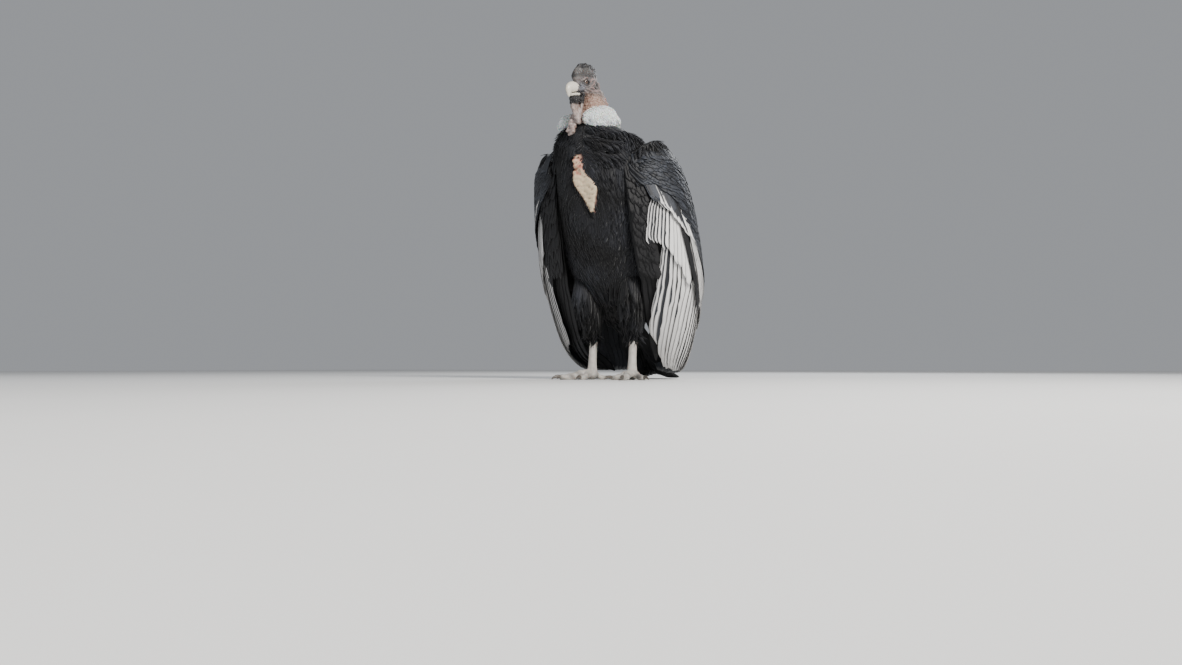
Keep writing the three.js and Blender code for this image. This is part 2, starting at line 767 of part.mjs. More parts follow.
function trouserForm(side) {
  restart(side + 50);
  const pieces = [thighForm(side)];
  for (let i = 0; i < trousers.count; i++) {
    const angle = (i / trousers.count) * 2 * Math.PI;
    const drop = chance(-7, 7);
    const spine = (t) => {
      const reach = mix(29, 23, t);
      const centre = vec(side * mix(70, leg.apart, t), mix(-2, 7, t), mix(192, trousers.low + drop, t));
      const out = vec(Math.sin(angle), -Math.cos(angle) * 1.15, 0.1);
      return { point: centre.addScaledVector(out, reach), out: out.normalize() };
    };
    const width = trousers.width * chance(0.9, 1.1);
    pieces.push(vane(spine, { ...trousers, width, segments: 2, outline: pointedOutline }));
  }
  return join(pieces);
}

function tarsusForm(side, grow = 0) {
  const line = new THREE.CatmullRomCurve3([
    vec(side * (leg.apart + 1), 10, 176),
    vec(side * leg.apart, 9, 130),
    vec(side * leg.apart, 2, 70),
    vec(side * leg.apart, -2, 18),
  ]);
  return loft(
    12,
    7,
    (t) => {
      const [size] = graded([[0, 1.25], [0.25, 1.2], [0.5, 0.98], [0.8, 1.05], [1, 1.35]], t);
      return {
        centre: line.getPoint(t),
        wide: vec(leg.tarsus * size + grow, 0, 0),
        deep: vec(0, leg.tarsus * size * 1.08 + grow, 0),
      };
    },
    { cap: 0.06 },
  );
}

// A toe's line from the ball of the foot: it rises over the first joint and lies flat after it
function toeLine(side, turn, length, radius) {
  const start = vec(side * leg.apart, -4, leg.foot - 4);
  const way = vec(-side * Math.sin(rad(turn)), -Math.cos(rad(turn)), 0);
  return new THREE.CatmullRomCurve3([
    start,
    start.clone().addScaledVector(way, length * 0.34).setZ(radius * 1.5),
    start.clone().addScaledVector(way, length * 0.68).setZ(radius * 0.76),
    start.clone().addScaledVector(way, length).setZ(radius * 0.6),
  ]);
}

function toeForm(curve, radius, grow = 0) {
  return loft(
    6,
    7,
    (t) => {
      const ahead = curve.getTangent(t);
      const wide = ahead.clone().cross(vec(0, 0, 1)).normalize();
      const pads = 1 + 0.09 * Math.cos(t * 6 * Math.PI);
      const size = radius * mix(1.15, 0.74, t) * pads + grow;
      return {
        centre: curve.getPoint(t),
        wide: wide.clone().multiplyScalar(size * 1.02),
        deep: wide.cross(ahead).multiplyScalar(size * 0.95),
      };
    },
    { cap: 0.07 },
  );
}

function clawForm(curve, radius) {
  const end = curve.getPoint(0.97);
  const way = curve.getTangent(1).setZ(0).normalize();
  const size = clawSize.radius * (radius / 12);
  const line = new THREE.CatmullRomCurve3([
    end.clone().addScaledVector(way, -4).add(vec(0, 0, 1)),
    end.clone().addScaledVector(way, clawSize.length * 0.4).add(vec(0, 0, 3.5)),
    end.clone().addScaledVector(way, clawSize.length * 0.8).add(vec(0, 0, -0.5)),
    end.clone().addScaledVector(way, clawSize.length).setZ(1.6),
  ]);
  return loft(
    6,
    4,
    (t) => {
      const ahead = line.getTangent(t);
      const wide = ahead.clone().cross(vec(0, 0, 1)).normalize();
      const slim = mix(1, 0.24, t ** 1.3);
      return {
        centre: line.getPoint(t),
        wide: wide.clone().multiplyScalar(size * 0.85 * slim),
        deep: wide.cross(ahead).multiplyScalar(size * slim),
      };
    },
    { cap: 0.08 },
  );
}

const belowFloor = solidOf(new THREE.BoxGeometry(2000, 2000, 200).translate(0, 0, -100));

function footForms(side, label) {
  const turn = footTurn[label];
  const ball = egg(vec(side * leg.apart, -4, leg.foot - 12), vec(19, 21, 16), 9, 5);
  const lines = toes.map(([name, angle, length, radius]) => ({
    name,
    radius,
    line: toeLine(side, angle - turn, length, radius),
  }));
  const whole = join([ball, ...lines.map(({ line, radius }) => toeForm(line, radius))]);
  const forms = { [`foot_${label}`]: cut(whole, tarsusForm(side, gap), belowFloor) };
  for (const { name, radius, line } of lines) {
    const claw = cut(clawForm(line, radius), toeForm(line, radius, gap), belowFloor);
    forms[`claw_${label}_${name}`] = claw;
  }
  return forms;
}

// The bare wedge of skin over the crop, set in the breast
function cropForm(grow = 0) {
  return reshaped(12, 8, (_, __, unit) => {
    const drop = (1 - unit.z) / 2;
    const [wide, aside] = graded(cropRows, drop);
    const skin = torsoPoint((aside + unit.x * (wide + grow)) / 166, 574 + unit.z * (82 + grow), 0);
    return skin.add(vec(0, -2 + unit.y * (12 + grow), 0));
  });
}

// Keeps the largest closed surface of a solid
function largest(solid) {
  return solid.decompose().reduce((best, one) => (one.volume() > best.volume() ? one : best));
}

// Draws together points that cuts have left closer than a hair, and drops the faces between them
function tidied(points, faces) {
  let kept = faces;
  for (let again = true; again; ) {
    again = false;
    const around = points.map(() => new Set());
    for (const face of kept) {
      face.forEach((a, n) => {
        around[a].add(face[(n + 1) % 3]);
        around[face[(n + 1) % 3]].add(a);
      });
    }
    const moved = new Map();
    const held = new Set();
    for (const face of kept) {
      for (let n = 0; n < 3; n++) {
        const [a, b] = [face[n], face[(n + 1) % 3]];
        if (held.has(a) || held.has(b) || points[a].distanceTo(points[b]) > hair) continue;
        if ([...around[a]].filter((c) => around[b].has(c)).length !== 2) continue;
        moved.set(b, a);
        for (const c of [a, b, ...around[a], ...around[b]]) held.add(c);
        again = true;
      }
    }
    kept = kept
      .map((face) => face.map((a) => (moved.has(a) ? moved.get(a) : a)))
      .filter(([a, b, c]) => a !== b && b !== c && c !== a);
  }
  return kept;
}

const bird = new THREE.Group();

function add(name, look, solid) {
  const { numProp, vertProperties, triVerts } = largest(solid).getMesh();
  const points = [];
  for (let i = 0; i < vertProperties.length; i += numProp) {
    points.push(vec(...vertProperties.subarray(i, i + 3)));
  }
  const faces = [];
  for (let i = 0; i < triVerts.length; i += 3) faces.push(Array.from(triVerts.subarray(i, i + 3)));
  const geometry = new THREE.BufferGeometry().setFromPoints(points);
  geometry.setIndex(tidied(points, faces).flat());
  geometry.computeVertexNormals();
  const material = new THREE.MeshStandardMaterial({ ...looks[look], metalness: 0 });
  const mesh = new THREE.Mesh(geometry, material);
  mesh.name = name;
  bird.add(mesh);
}

// Side lappets, the loose fold at the back and the dewlap that hangs from the chin to the breast
const neckFolds = [
  fold([vec(4, -192, 846), vec(-2, -194, 816), vec(-4, -196, 788), vec(-10, -204, 764)], 5, 9),
  fold([vec(24, -128, 852), vec(32, -112, 828), vec(34, -98, 806), vec(26, -94, 790)], 8, 7),
  fold([vec(-20, -206, 836), vec(-22, -208, 804), vec(-22, -206, 768), vec(-20, -202, 730)], 15, 42),
];

add("torso", "black", cut(torsoForm(), cropForm(gap)));
add("crop_skin", "crop", cropForm());
const headRoom = onHead(join([skull(gap), wattle(gap), jawForm(gap), ...rings(gap)]));
add("neck", "neck", cut(join([neckForm(), ...neckFolds]), torsoForm(gap), headRoom));
add("ruff", "down", cut(ruffForm(), torsoForm(gap), neckForm(gap + 1.4), ...neckFolds));
const head = headForms();
for (const [name, look] of [
  ["head", "face"],
  ["bill_upper", "ivory"],
  ["bill_lower", "ivory"],
  ["comb", "comb"],
  ["eye_left", "iris"],
  ["eye_right", "iris"],
]) {
  add(name, look, onHead(head[name]));
}
for (const [label, side] of [
  ["left", 1],
  ["right", -1],
]) {
  const body = torsoForm(gap);
  const thigh = thighForm(side, gap);
  const arms = join([armForm(side, false, gap), armForm(side, true, gap)]);
  const flight = join([secondariesForm(side, false, gap), secondariesForm(side, true, gap)]);
  const front = secondariesForm(side, false, gap);
  add(`wing_${label}_forearm`, "coverts", cut(armForm(side, false), body));
  add(`wing_${label}_shoulder`, "coverts", cut(armForm(side, true), armForm(side, false, gap), body));
  add(`wing_${label}_secondaries`, "silver", cut(secondariesForm(side, false), arms, body, thigh));
  add(`wing_${label}_tertials`, "silver", cut(secondariesForm(side, true), front, arms, body, thigh));
  add(`wing_${label}_primaries`, "black", cut(primariesForm(side), flight, body, thigh));
  add(`thigh_${label}`, "black", cut(trouserForm(side), body, tarsusForm(side, gap)));
  add(`tarsus_${label}`, "leg", tarsusForm(side));
  for (const [name, solid] of Object.entries(footForms(side, label))) {
    add(name, name.startsWith("claw") ? "claw" : "leg", solid);
  }
}
add("tail", "black", cut(tailForm(), torsoForm(gap), belowFloor));

// Sets the bird so that its box stands centred on the origin
const box = new THREE.Box3().setFromObject(bird);
bird.position.set(-(box.min.x + box.max.x) / 2, -(box.min.y + box.max.y) / 2, -box.min.z);

export default bird;
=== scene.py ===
import math
import bpy
import numpy as np
from mathutils import Euler, Matrix, Vector


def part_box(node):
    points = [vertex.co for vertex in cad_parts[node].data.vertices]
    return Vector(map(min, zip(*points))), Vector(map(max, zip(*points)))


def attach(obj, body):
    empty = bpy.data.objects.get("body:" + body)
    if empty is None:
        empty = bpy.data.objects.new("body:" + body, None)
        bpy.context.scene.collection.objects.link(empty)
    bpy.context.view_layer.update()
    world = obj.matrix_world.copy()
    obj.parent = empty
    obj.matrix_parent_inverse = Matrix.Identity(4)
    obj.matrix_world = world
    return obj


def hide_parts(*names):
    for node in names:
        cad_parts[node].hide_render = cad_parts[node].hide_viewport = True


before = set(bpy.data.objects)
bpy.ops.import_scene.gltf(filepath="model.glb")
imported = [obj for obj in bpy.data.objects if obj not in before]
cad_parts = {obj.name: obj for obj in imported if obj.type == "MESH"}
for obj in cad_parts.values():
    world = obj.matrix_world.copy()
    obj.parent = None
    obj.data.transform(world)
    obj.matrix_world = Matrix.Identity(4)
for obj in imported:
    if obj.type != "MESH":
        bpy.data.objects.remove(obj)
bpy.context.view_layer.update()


# Small tools. Shapes are worked out in millimetres, forward is -Y and up is +Z
def mix(a, b, t):
    return a + (b - a) * t


def smooth(x, low, high):
    t = np.clip((np.asarray(x, float) - low) / (high - low), 0, 1)
    return t * t * (3 - 2 * t)


def fall(x, low, high):
    return 1 - smooth(x, low, high)


def held(x):
    return np.clip(x, 0, 1)


def unit(v):
    return v / np.maximum(np.linalg.norm(v, axis=-1, keepdims=True), 1e-9)


def bell(x, width):
    return np.exp(-(np.asarray(x, float) / width) ** 2)


# Smooth curve through the rows of a small table: the first column is where, the rest are the sizes there
def graded(rows, x, column=slice(None)):
    rows, x = np.asarray(rows, float), np.asarray(x, float)
    last = len(rows) - 1
    i = np.clip(np.searchsorted(rows[:, 0], x, side="right") - 1, 0, last - 1)
    before, a, b, after = rows[np.maximum(i - 1, 0)], rows[i], rows[i + 1], rows[np.minimum(i + 2, last)]
    span = (b[..., 0] - a[..., 0])[..., None]
    t = held((x[..., None] - a[..., :1]) / span)
    slopeA = (b[..., 1:] - before[..., 1:]) / (b[..., :1] - before[..., :1]) * span
    slopeB = (after[..., 1:] - a[..., 1:]) / (after[..., :1] - a[..., :1]) * span
    t2, t3 = t * t, t * t * t
    return (a[..., 1:] * (2 * t3 - 3 * t2 + 1) + slopeA * (t3 - 2 * t2 + t)
            + b[..., 1:] * (3 * t2 - 2 * t3) + slopeB * (t3 - t2))[..., column]


# Points on a curve through a few points
def curveThrough(points, shares):
    p = np.asarray(points, float)
    last = len(p) - 1
    out = []
    for share in np.atleast_1d(shares):
        place = min(max(share, 0.0), 1.0) * last
        i = min(int(place), last - 1)
        w = place - i
        p1, p2 = p[i], p[i + 1]
        p0 = p[i - 1] if i > 0 else 2 * p[0] - p[1]
        p3 = p[i + 2] if i + 2 <= last else 2 * p[last] - p[last - 1]
        d0, d1, d2 = [max(np.linalg.norm(b - a), 1e-4) ** 0.5 for a, b in ((p0, p1), (p1, p2), (p2, p3))]
        t1 = ((p1 - p0) / d0 - (p2 - p0) / (d0 + d1) + (p2 - p1) / d1) * d1
        t2 = ((p2 - p1) / d1 - (p3 - p1) / (d1 + d2) + (p3 - p2) / d2) * d1
        out.append(p1 + t1 * w + (3 * p2 - 3 * p1 - 2 * t1 - t2) * w ** 2 + (2 * p1 - 2 * p2 + t1 + t2) * w ** 3)
    return np.array(out)


def curveAhead(points, shares):
    shares = np.atleast_1d(shares)
    return unit(curveThrough(points, np.minimum(shares + 0.01, 1)) - curveThrough(points, np.maximum(shares - 0.01, 0)))


# Soft random waves, the same each run
def ripple(points, scale, seed, waves=20):
    draw = np.random.default_rng(seed)
    way = unit(draw.normal(size=(waves, 3))) * draw.uniform(0.6, 1.5, (waves, 1)) * 2 * math.pi / scale
    start = draw.uniform(0, 2 * math.pi, waves)
    return np.sin(np.asarray(points) @ way.T + start).sum(-1) / math.sqrt(waves / 2)


# How far each point is from a bent line, and how far along the line its nearest place is
def nearLine(points, line):
    best, along = np.full(len(points), 1e9), np.zeros(len(points))
    line = np.asarray(line, float)
    for i in range(len(line) - 1):
        a, b = line[i], line[i + 1]
        t = held(((points - a) @ (b - a)) / ((b - a) @ (b - a)))
        far = np.linalg.norm(points - (a + t[:, None] * (b - a)), axis=1)
        closer = far < best
        best = np.where(closer, far, best)
        along = np.where(closer, (i + t) / (len(line) - 1), along)
    return best, along


# A rise along a curve, faded at both ends
def bump(points, line, width, height, fade=0.15):
    far, along = nearLine(points, curveThrough(line, np.linspace(0, 1, 14)))
    return height * bell(far, width) * smooth(along, -0.001, fade) * fall(along, 1 - fade, 1.001)


def axial(values, axis):
    out = np.zeros((len(values), 3))
    out[:, axis] = values
    return out


# The head's own place: x to its left, forward and up from the middle of the skull
headPlace = {"centre": (-2, -170, 868), "yaw": -9, "pitch": 13, "size": 0.92}
# iris is the angle from the middle of the eye to the edge of its colour, bulge how far the clear front stands out
eyeSize = {"forward": 35, "rise": 11, "apart": 18.5, "radius": 9, "iris": 46, "bulge": 0.035}

headTurn = np.array(Matrix.Rotation(math.radians(headPlace["yaw"]), 3, "Z")
                    @ Matrix.Rotation(math.radians(headPlace["pitch"]), 3, "X")) * headPlace["size"]
headCentre = np.array(headPlace["centre"], float)


def onHead(points):
    return np.asarray(points, float) @ headTurn.T + headCentre


def inHead(points):
    return (np.asarray(points, float) - headCentre) @ np.linalg.inv(headTurn).T


# The eyes of the solids say where the millimetre sizes sit in the shared frame
eyeMiddle = onHead([0, -eyeSize["forward"], eyeSize["rise"]])
eyeBoxes = [np.array(corner) for side in ("left", "right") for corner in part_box("eye_" + side)]
shift = np.mean(eyeBoxes, axis=0) * 1000 - eyeMiddle
shift[2] = 0


def toRow(points):
    return (np.asarray(points, float) + shift) / 1000


def packed(values):
    return np.asarray(values, np.float32).ravel()


# Meshes from arrays
def rawMesh(name, points, faceSets):
    mesh = bpy.data.meshes.new(name)
    points = toRow(points).reshape(-1, 3)
    loops = np.concatenate([np.asarray(f).ravel() for f in faceSets]).astype(np.int32)
    sizes = np.concatenate([np.full(len(f), np.asarray(f).shape[1]) for f in faceSets])
    mesh.vertices.add(len(points))
    mesh.vertices.foreach_set("co", packed(points))
    mesh.loops.add(len(loops))
    mesh.loops.foreach_set("vertex_index", loops)
    mesh.polygons.add(len(sizes))
    mesh.polygons.foreach_set("loop_start", np.concatenate([[0], np.cumsum(sizes)[:-1]]).astype(np.int32))
    mesh.update(calc_edges=True)
    return mesh


def addMark(mesh, name, values, kind="FLOAT"):
    key = "value" if kind == "FLOAT" else "vector"
    mesh.attributes.new(name, kind, "POINT").data.foreach_set(key, packed(values))


# A UV map from one spot for each point
def addSpots(mesh, name, spots):
    corners = np.empty(len(mesh.loops), np.int32)
    mesh.loops.foreach_get("vertex_index", corners)
    mesh.uv_layers.new(name=name).data.foreach_set("uv", packed(spots[corners]))


def readRows(vertices, key):
    out = np.empty(len(vertices) * 3, np.float32)
    vertices.foreach_get(key, out)
    return out.reshape(-1, 3).astype(float)


def shapeOf(mesh):
    return readRows(mesh.vertices, "co") * 1000 - shift, readRows(mesh.vertices, "normal")


def setPoints(mesh, points):
    mesh.vertices.foreach_set("co", packed(toRow(points)))
    mesh.update()


def newObject(name, data):
    piece = bpy.data.objects.new(name, data)
    bpy.context.scene.collection.objects.link(piece)
    return piece


def showMesh(mesh, material=None, smoothFaces=True):
    for face in mesh.polygons:
        face.use_smooth = smoothFaces
    if material:
        mesh.materials.clear()
        mesh.materials.append(material)
    return newObject(mesh.name, mesh)


# A plain mesh of what the modifiers make; the object they were on goes
def settled(piece, name):
    graph = bpy.context.evaluated_depsgraph_get()
    mesh = bpy.data.meshes.new_from_object(piece.evaluated_get(graph), depsgraph=graph)
    mesh.name = name
    bpy.data.objects.remove(piece)
    return mesh


def ridePiece(piece, slot, *nodes):
    if nodes:
        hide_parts(*nodes)
    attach(piece, "root")
    print(piece.name, sum(len(face.vertices) - 2 for face in piece.data.polygons), "triangles")


# Rings of points, the first and last of them drawn together to a point, as one closed form
def closedRings(rings):
    count, around = rings.shape[:2]
    body = rings[1:-1].reshape(-1, 3)
    points = np.vstack([body, rings[0].mean(0), rings[-1].mean(0)])
    i = np.arange(around)
    j = (i + 1) % around
    rows = np.arange(count - 3)[:, None] * around
    quads = np.stack([rows + i, rows + j, rows + around + j, rows + around + i], -1).reshape(-1, 4)
    first, last = len(body), len(body) + 1
    ends = np.vstack([np.stack([np.full(around, first), j, i], -1),
                      np.stack([np.full(around, last), (count - 3) * around + i, (count - 3) * around + j], -1)])
    return points, [quads, ends]


# Shares along a form, closer together at its ends, and how full it is at each of them
def endedShares(along, ease, cap):
    share = np.linspace(0, 1, along + 1)
    t = mix(share, (1 - np.cos(math.pi * share)) / 2, ease)
    end = np.minimum(t, 1 - t) / cap
    return t, np.where(end >= 1, 1, np.sqrt(np.maximum(0, 1 - (1 - np.minimum(end, 1)) ** 2)))


# A closed round form from rings. place(share) gives arrays of centres, wide and deep vectors
def loftForm(around, along, place, cap=0.1, swell=None):
    t, size = endedShares(along, 0.5, cap)
    centre, wide, deep = place(t)
    angle = np.arange(around) * 2 * math.pi / around
    grown = size[:, None] * (swell(angle[None, :], t[:, None]) if swell else np.ones((along + 1, around)))
    return closedRings(centre[:, None] + wide[:, None] * (np.sin(angle)[None, :] * grown)[..., None]
                       + deep[:, None] * (np.cos(angle)[None, :] * grown)[..., None])


def ball(around, along):
    v = np.linspace(0, math.pi, along + 1)[:, None]
    u = np.arange(around)[None, :] * 2 * math.pi / around
    return np.sin(v) * np.cos(u), np.sin(v) * np.sin(u), np.cos(v) * np.ones_like(u)


def eggForm(centre, half, around=32, along=20, turn=np.eye(3)):
    return closedRings(np.stack(ball(around, along), -1) * np.asarray(half, float) @ np.asarray(turn).T
                       + np.asarray(centre, float))


# Melts several closed forms into one skin with an even mesh
def melted(name, forms, cell, rounds):
    allPoints, faceSets, base = [], [], 0
    for points, faces in forms:
        allPoints.append(points)
        faceSets += [np.asarray(face) + base for face in faces]
        base += len(points)
    piece = newObject(name, rawMesh(name, np.vstack(allPoints), faceSets))
    melt = piece.modifiers.new("Melt", "REMESH")
    melt.mode = "VOXEL"
    melt.voxel_size = cell / 1000
    soften = piece.modifiers.new("Soften", "SMOOTH")
    soften.factor = 0.5
    soften.iterations = rounds
    return settled(piece, name)


# One output of a node, so that the sums on outputs read as sums
class Flow:
    def __init__(self, nodes, socket):
        self.nodes, self.socket = nodes, socket

    def __add__(self, other):
        return self.nodes.math("ADD", self, other)

    def __sub__(self, other):
        return self.nodes.math("SUBTRACT", self, other)

    def __rsub__(self, other):
        return self.nodes.math("SUBTRACT", other, self)

    def __mul__(self, other):
        return self.nodes.math("MULTIPLY", self, other)

    def clamped(self):
        self.socket.node.use_clamp = True
        return self


class Nodes:
    def __init__(self, tree):
        self.tree = tree

    def put(self, socket, value):
        value = value.socket if isinstance(value, Flow) else value
        if isinstance(value, bpy.types.NodeSocket):
            self.tree.links.new(value, socket)
        else:
            socket.default_value = value

    def add(self, kind, inputs=None, **settings):
        node = self.tree.nodes.new(kind)
        for key, value in settings.items():
            setattr(node, key, value)
        for key, value in (inputs or {}).items():
            self.put(node.inputs[key], value)
        return node

    def flow(self, kind, inputs=None, output=0, **settings):
        return Flow(self, self.add(kind, inputs, **settings).outputs[output])

    def math(self, operation, a, b=0.0):
        return self.flow("ShaderNodeMath", {0: a, 1: b}, operation=operation)

    def marks(self, *names):
        return [self.flow("ShaderNodeAttribute", None, "Fac", attribute_name=name) for name in names]

    def noise(self, scale, detail=4, stretch=None):
        place = self.flow("ShaderNodeTexCoord", None, "Object")
        if stretch:
            place = self.flow("ShaderNodeMapping", {"Vector": place, "Scale": stretch})
        return self.flow("ShaderNodeTexNoise", {"Vector": place, "Scale": scale, "Detail": detail}, "Fac")

    def cells(self, scale, feature="F1"):
        place = self.flow("ShaderNodeTexCoord", None, "Object")
        return self.flow("ShaderNodeTexVoronoi", {"Vector": place, "Scale": scale}, "Distance", feature=feature)

    def blend(self, share, a, b):
        a, b = (value if isinstance(value, Flow) else (*value, 1) for value in (a, b))
        return self.flow("ShaderNodeMix", {0: share, 6: a, 7: b}, 2, data_type="RGBA")

    def relief(self, height, strength, distance, under=None):
        inputs = {"Height": height, "Strength": strength, "Distance": distance, **({"Normal": under} if under else {})}
        return self.flow("ShaderNodeBump", inputs, "Normal")

    def finish(self, colour, roughness, normal=None, **fixed):
        fixed = {key.replace("_", " "): value for key, value in fixed.items()}
        inputs = {"Base Color": colour, "Roughness": roughness, **({"Normal": normal} if normal else {}), **fixed}
        self.add("ShaderNodeOutputMaterial", {"Surface": self.flow("ShaderNodeBsdfPrincipled", inputs)})


def newMaterial(name):
    material = bpy.data.materials.new(name)
    material.use_nodes = True
    material.node_tree.nodes.clear()
    return material, Nodes(material.node_tree)


# Colours; a pair is the darker and the lighter shade
featherLooks = {
    # slateAndSkySheen is partly the feathers' own dark slate and partly a painted reflection of the blue sky
    "black": (0.0040, 0.0041, 0.0050), "slateAndSkySheen": (0.046, 0.052, 0.066), "hand": (0.012, 0.0118, 0.0135),
    "silver": (0.88, 0.87, 0.86), "dusty": (0.56, 0.535, 0.52),
    # the lighter body shade is painted sheen, and bodyRootShade is painted shade at the feather roots
    "body": ((0.0026, 0.0026, 0.0034), (0.034, 0.037, 0.048)), "bodyRootShade": (0.003, 0.0028, 0.003),
    # the darker down shade and downRootShade are painted shade in the white down
    "down": ((0.93, 0.93, 0.92), (0.76, 0.75, 0.74)), "downRootShade": (0.70, 0.69, 0.68),
}
skinLooks = {
    # the lore colours are partly the grey-blue skin and partly a painted highlight reflecting the sky
    "face": ((0.080, 0.072, 0.072), (0.195, 0.168, 0.162)), "lore": ((0.085, 0.092, 0.112), (0.20, 0.21, 0.245)),
    "comb": ((0.016, 0.0155, 0.016), (0.082, 0.076, 0.074)), "neck": ((0.185, 0.12, 0.092), (0.37, 0.25, 0.195)),
    "crop": ((0.50, 0.385, 0.25), (0.74, 0.60, 0.42)), "leg": ((0.30, 0.275, 0.245), (0.66, 0.63, 0.585)),
    "under": (0.010, 0.010, 0.011), "flush": (0.40, 0.115, 0.09), "pale": (0.35, 0.295, 0.28),
    # dark is mostly painted shade and painted shadow on the bare skin, and the black of the skin under the feathers
    "dark": (0.007, 0.0068, 0.008),
}
hornLooks = {"bill": ((0.72, 0.685, 0.61), (0.62, 0.585, 0.50)), "claw": ((0.09, 0.08, 0.075), (0.018, 0.016, 0.015)),
             "stain": (0.30, 0.25, 0.2)}
# from the pupil to the white: share of the way out, colour
irisLook = [(0.0, (0.002, 0.002, 0.002)), (0.40, (0.003, 0.002, 0.002)), (0.46, (0.075, 0.032, 0.014)),
            (0.80, (0.115, 0.055, 0.025)), (0.90, (0.02, 0.012, 0.008)), (1.0, (0.05, 0.04, 0.035))]


# pale says how white a place is, tone how one feather differs from the next, barb runs along the barbs
def featherMaterial(name, light, rough, sheen):
    material, n = newMaterial(name)
    pale, tone, barb, along = n.marks("pale", "tone", "barb", "along")
    fine = n.math("SINE", barb * 3.6)
    streak = n.noise(70, 3, stretch=(1, 1, 0.10))
    # the black is clouded with the lighter shade; on the wing this is painted sheen, a painted sky reflection
    grey = n.blend((n.noise(14) * (tone + 0.35) * 1.15).clamped(), featherLooks["black"], light)
    # painted shade toward the root of each feather, where it lies under the next one
    grey = n.blend((1.0 - along) * 0.55, grey, featherLooks["black"])
    white = n.blend((streak * (tone * 0.45 + 0.1)).clamped(), featherLooks["silver"], featherLooks["dusty"])
    colour = n.blend((pale * 1.0).clamped(), grey, white)
    colour = n.blend((fine + 1.0) * 0.04, colour, (0.0, 0.0, 0.0))
    n.finish(colour, pale * 0.2 + (streak * 0.2 + (rough - 0.1)), n.relief(fine * 0.5, 0.35, 0.0004),
             Sheen_Weight=sheen, Sheen_Roughness=0.4, Specular_IOR_Level=0.32)
    return material


def plumageMaterial():
    material, n = newMaterial("blackPlumage")
    tone, along = n.marks("tone", "along")
    # soft patches of painted sheen, a painted sky reflection on the black feathers
    sheenPatches = ((n.noise(7) - 0.40) * 3.6).clamped()
    colour = n.blend((sheenPatches * (tone * 0.6 + 0.3)).clamped(), *featherLooks["body"])
    # painted shade toward the roots of the feathers
    colour = n.blend((1.0 - along) * 0.6, colour, featherLooks["bodyRootShade"])
    n.finish(colour, 0.62, n.relief(n.noise(520, 2, stretch=(1, 1, 0.1)), 0.35, 0.0006),
             Sheen_Weight=0.08, Sheen_Roughness=0.5, Specular_IOR_Level=0.2)
    return material


def downMaterial():
    material, n = newMaterial("whiteDown")
    tone, along = n.marks("tone", "along")
    # grey clouds of painted shade over the white down
    colour = n.blend((n.noise(26) * (tone * 0.35 + 0.05)).clamped(), *featherLooks["down"])
    # painted shade toward the roots of the tufts
    colour = n.blend((1.0 - along) * 0.12, colour, featherLooks["downRootShade"])
    n.finish(colour, 0.9, n.relief(n.noise(700, 2), 0.2, 0.0004), Sheen_Weight=0.3, Sheen_Roughness=0.6,
             Subsurface_Weight=0.2, Subsurface_Scale=0.005)
    return material


# Bare skin: marks say how far a place belongs to the face, comb, neck, crop, leg or what lies under feathers
def skinMaterial():
    material, n = newMaterial("bareSkin")
    # dark is near black: it holds painted shade in hollows and creases of the head, neck and crop, the painted shadow
    # under the bill, the comb's dark rim, the black skin under the feathers and the darker skin low on the feet
    face, comb, neck, crop, legs, dark, flush, pale, lore = n.marks(*skinMarkNames)
    patch, fine = n.noise(38, 5), n.noise(220)
    faceColour = n.blend(lore, n.blend(patch, *skinLooks["face"]), n.blend(patch, *skinLooks["lore"]))
    colour = skinLooks["under"]
    for share, over in ((face, faceColour), (comb, n.blend(patch + n.noise(14, 3) * 0.4, *skinLooks["comb"])),
                        (neck, n.blend(patch, *skinLooks["neck"])), (crop, n.blend(fine, *skinLooks["crop"])),
                        (legs, n.blend(n.noise(70), *skinLooks["leg"])), (flush * 0.85, skinLooks["flush"]),
                        (pale * 0.8, skinLooks["pale"]), (dark * 0.96, skinLooks["dark"])):
        colour = n.blend(share, colour, over)
    scale = n.math("MINIMUM", n.cells(230, "DISTANCE_TO_EDGE"), 0.09)
    normal = n.relief(scale * legs, 0.9, 0.006, n.relief(n.cells(520) + fine * 0.8, 0.35, 0.0007))
    n.finish(colour, fine * 0.25 + 0.38, normal, Subsurface_Weight=0.06, Subsurface_Scale=0.003,
             Specular_IOR_Level=0.45)
    return material


def hornMaterial(name, light, tip, rough):
    material, n = newMaterial(name)
    grain = n.noise(160, 5, stretch=(1, 0.25, 1))
    colour = n.blend(((n.marks("along")[0] + grain * 0.35) * 0.8).clamped(), light, tip)
    colour = n.blend(n.noise(40) * 0.35, colour, hornLooks["stain"])
    n.finish(colour, rough, n.relief(grain, 0.25, 0.0006), Specular_IOR_Level=0.5, Coat_Weight=0.15,
             Coat_Roughness=0.3)
    return material


def eyeMaterial():
    material, n = newMaterial("brownEye")
    ramp = n.add("ShaderNodeValToRGB", {"Fac": n.marks("ring")[0] + n.noise(900, 3) * 0.1})
    stops = ramp.color_ramp.elements
    while len(stops) < len(irisLook):
        stops.new(0.5)
    for stop, (at, colour) in zip(stops, irisLook):
        stop.position = at
        stop.color = (*colour, 1)
    n.finish(ramp.outputs["Color"], 0.08, Coat_Weight=0.8, Coat_Roughness=0.03, Specular_IOR_Level=0.6)
    return material


skinMarkNames = ("face", "comb", "neck", "crop", "legs", "dark", "flush", "pale", "lore")
print("tools and materials ready")

# The body's forms, from the same named sizes as the solids. Rows: height, half width, half depth, middle from the front
bodyForm = {
    "rows": [[150, 30, 34, 138], [185, 58, 66, 116], [230, 92, 98, 84], [300, 130, 128, 42], [380, 146, 146, 8],
             [470, 152, 160, -18], [560, 152, 162, -42], [650, 148, 150, -66], [710, 142, 126, -88],
             [748, 112, 94, -106], [780, 50, 52, -126]],
    "low": 138, "high": 783, "parting": 0.055, "partingWidth": 0.2, "coat": 7,
}
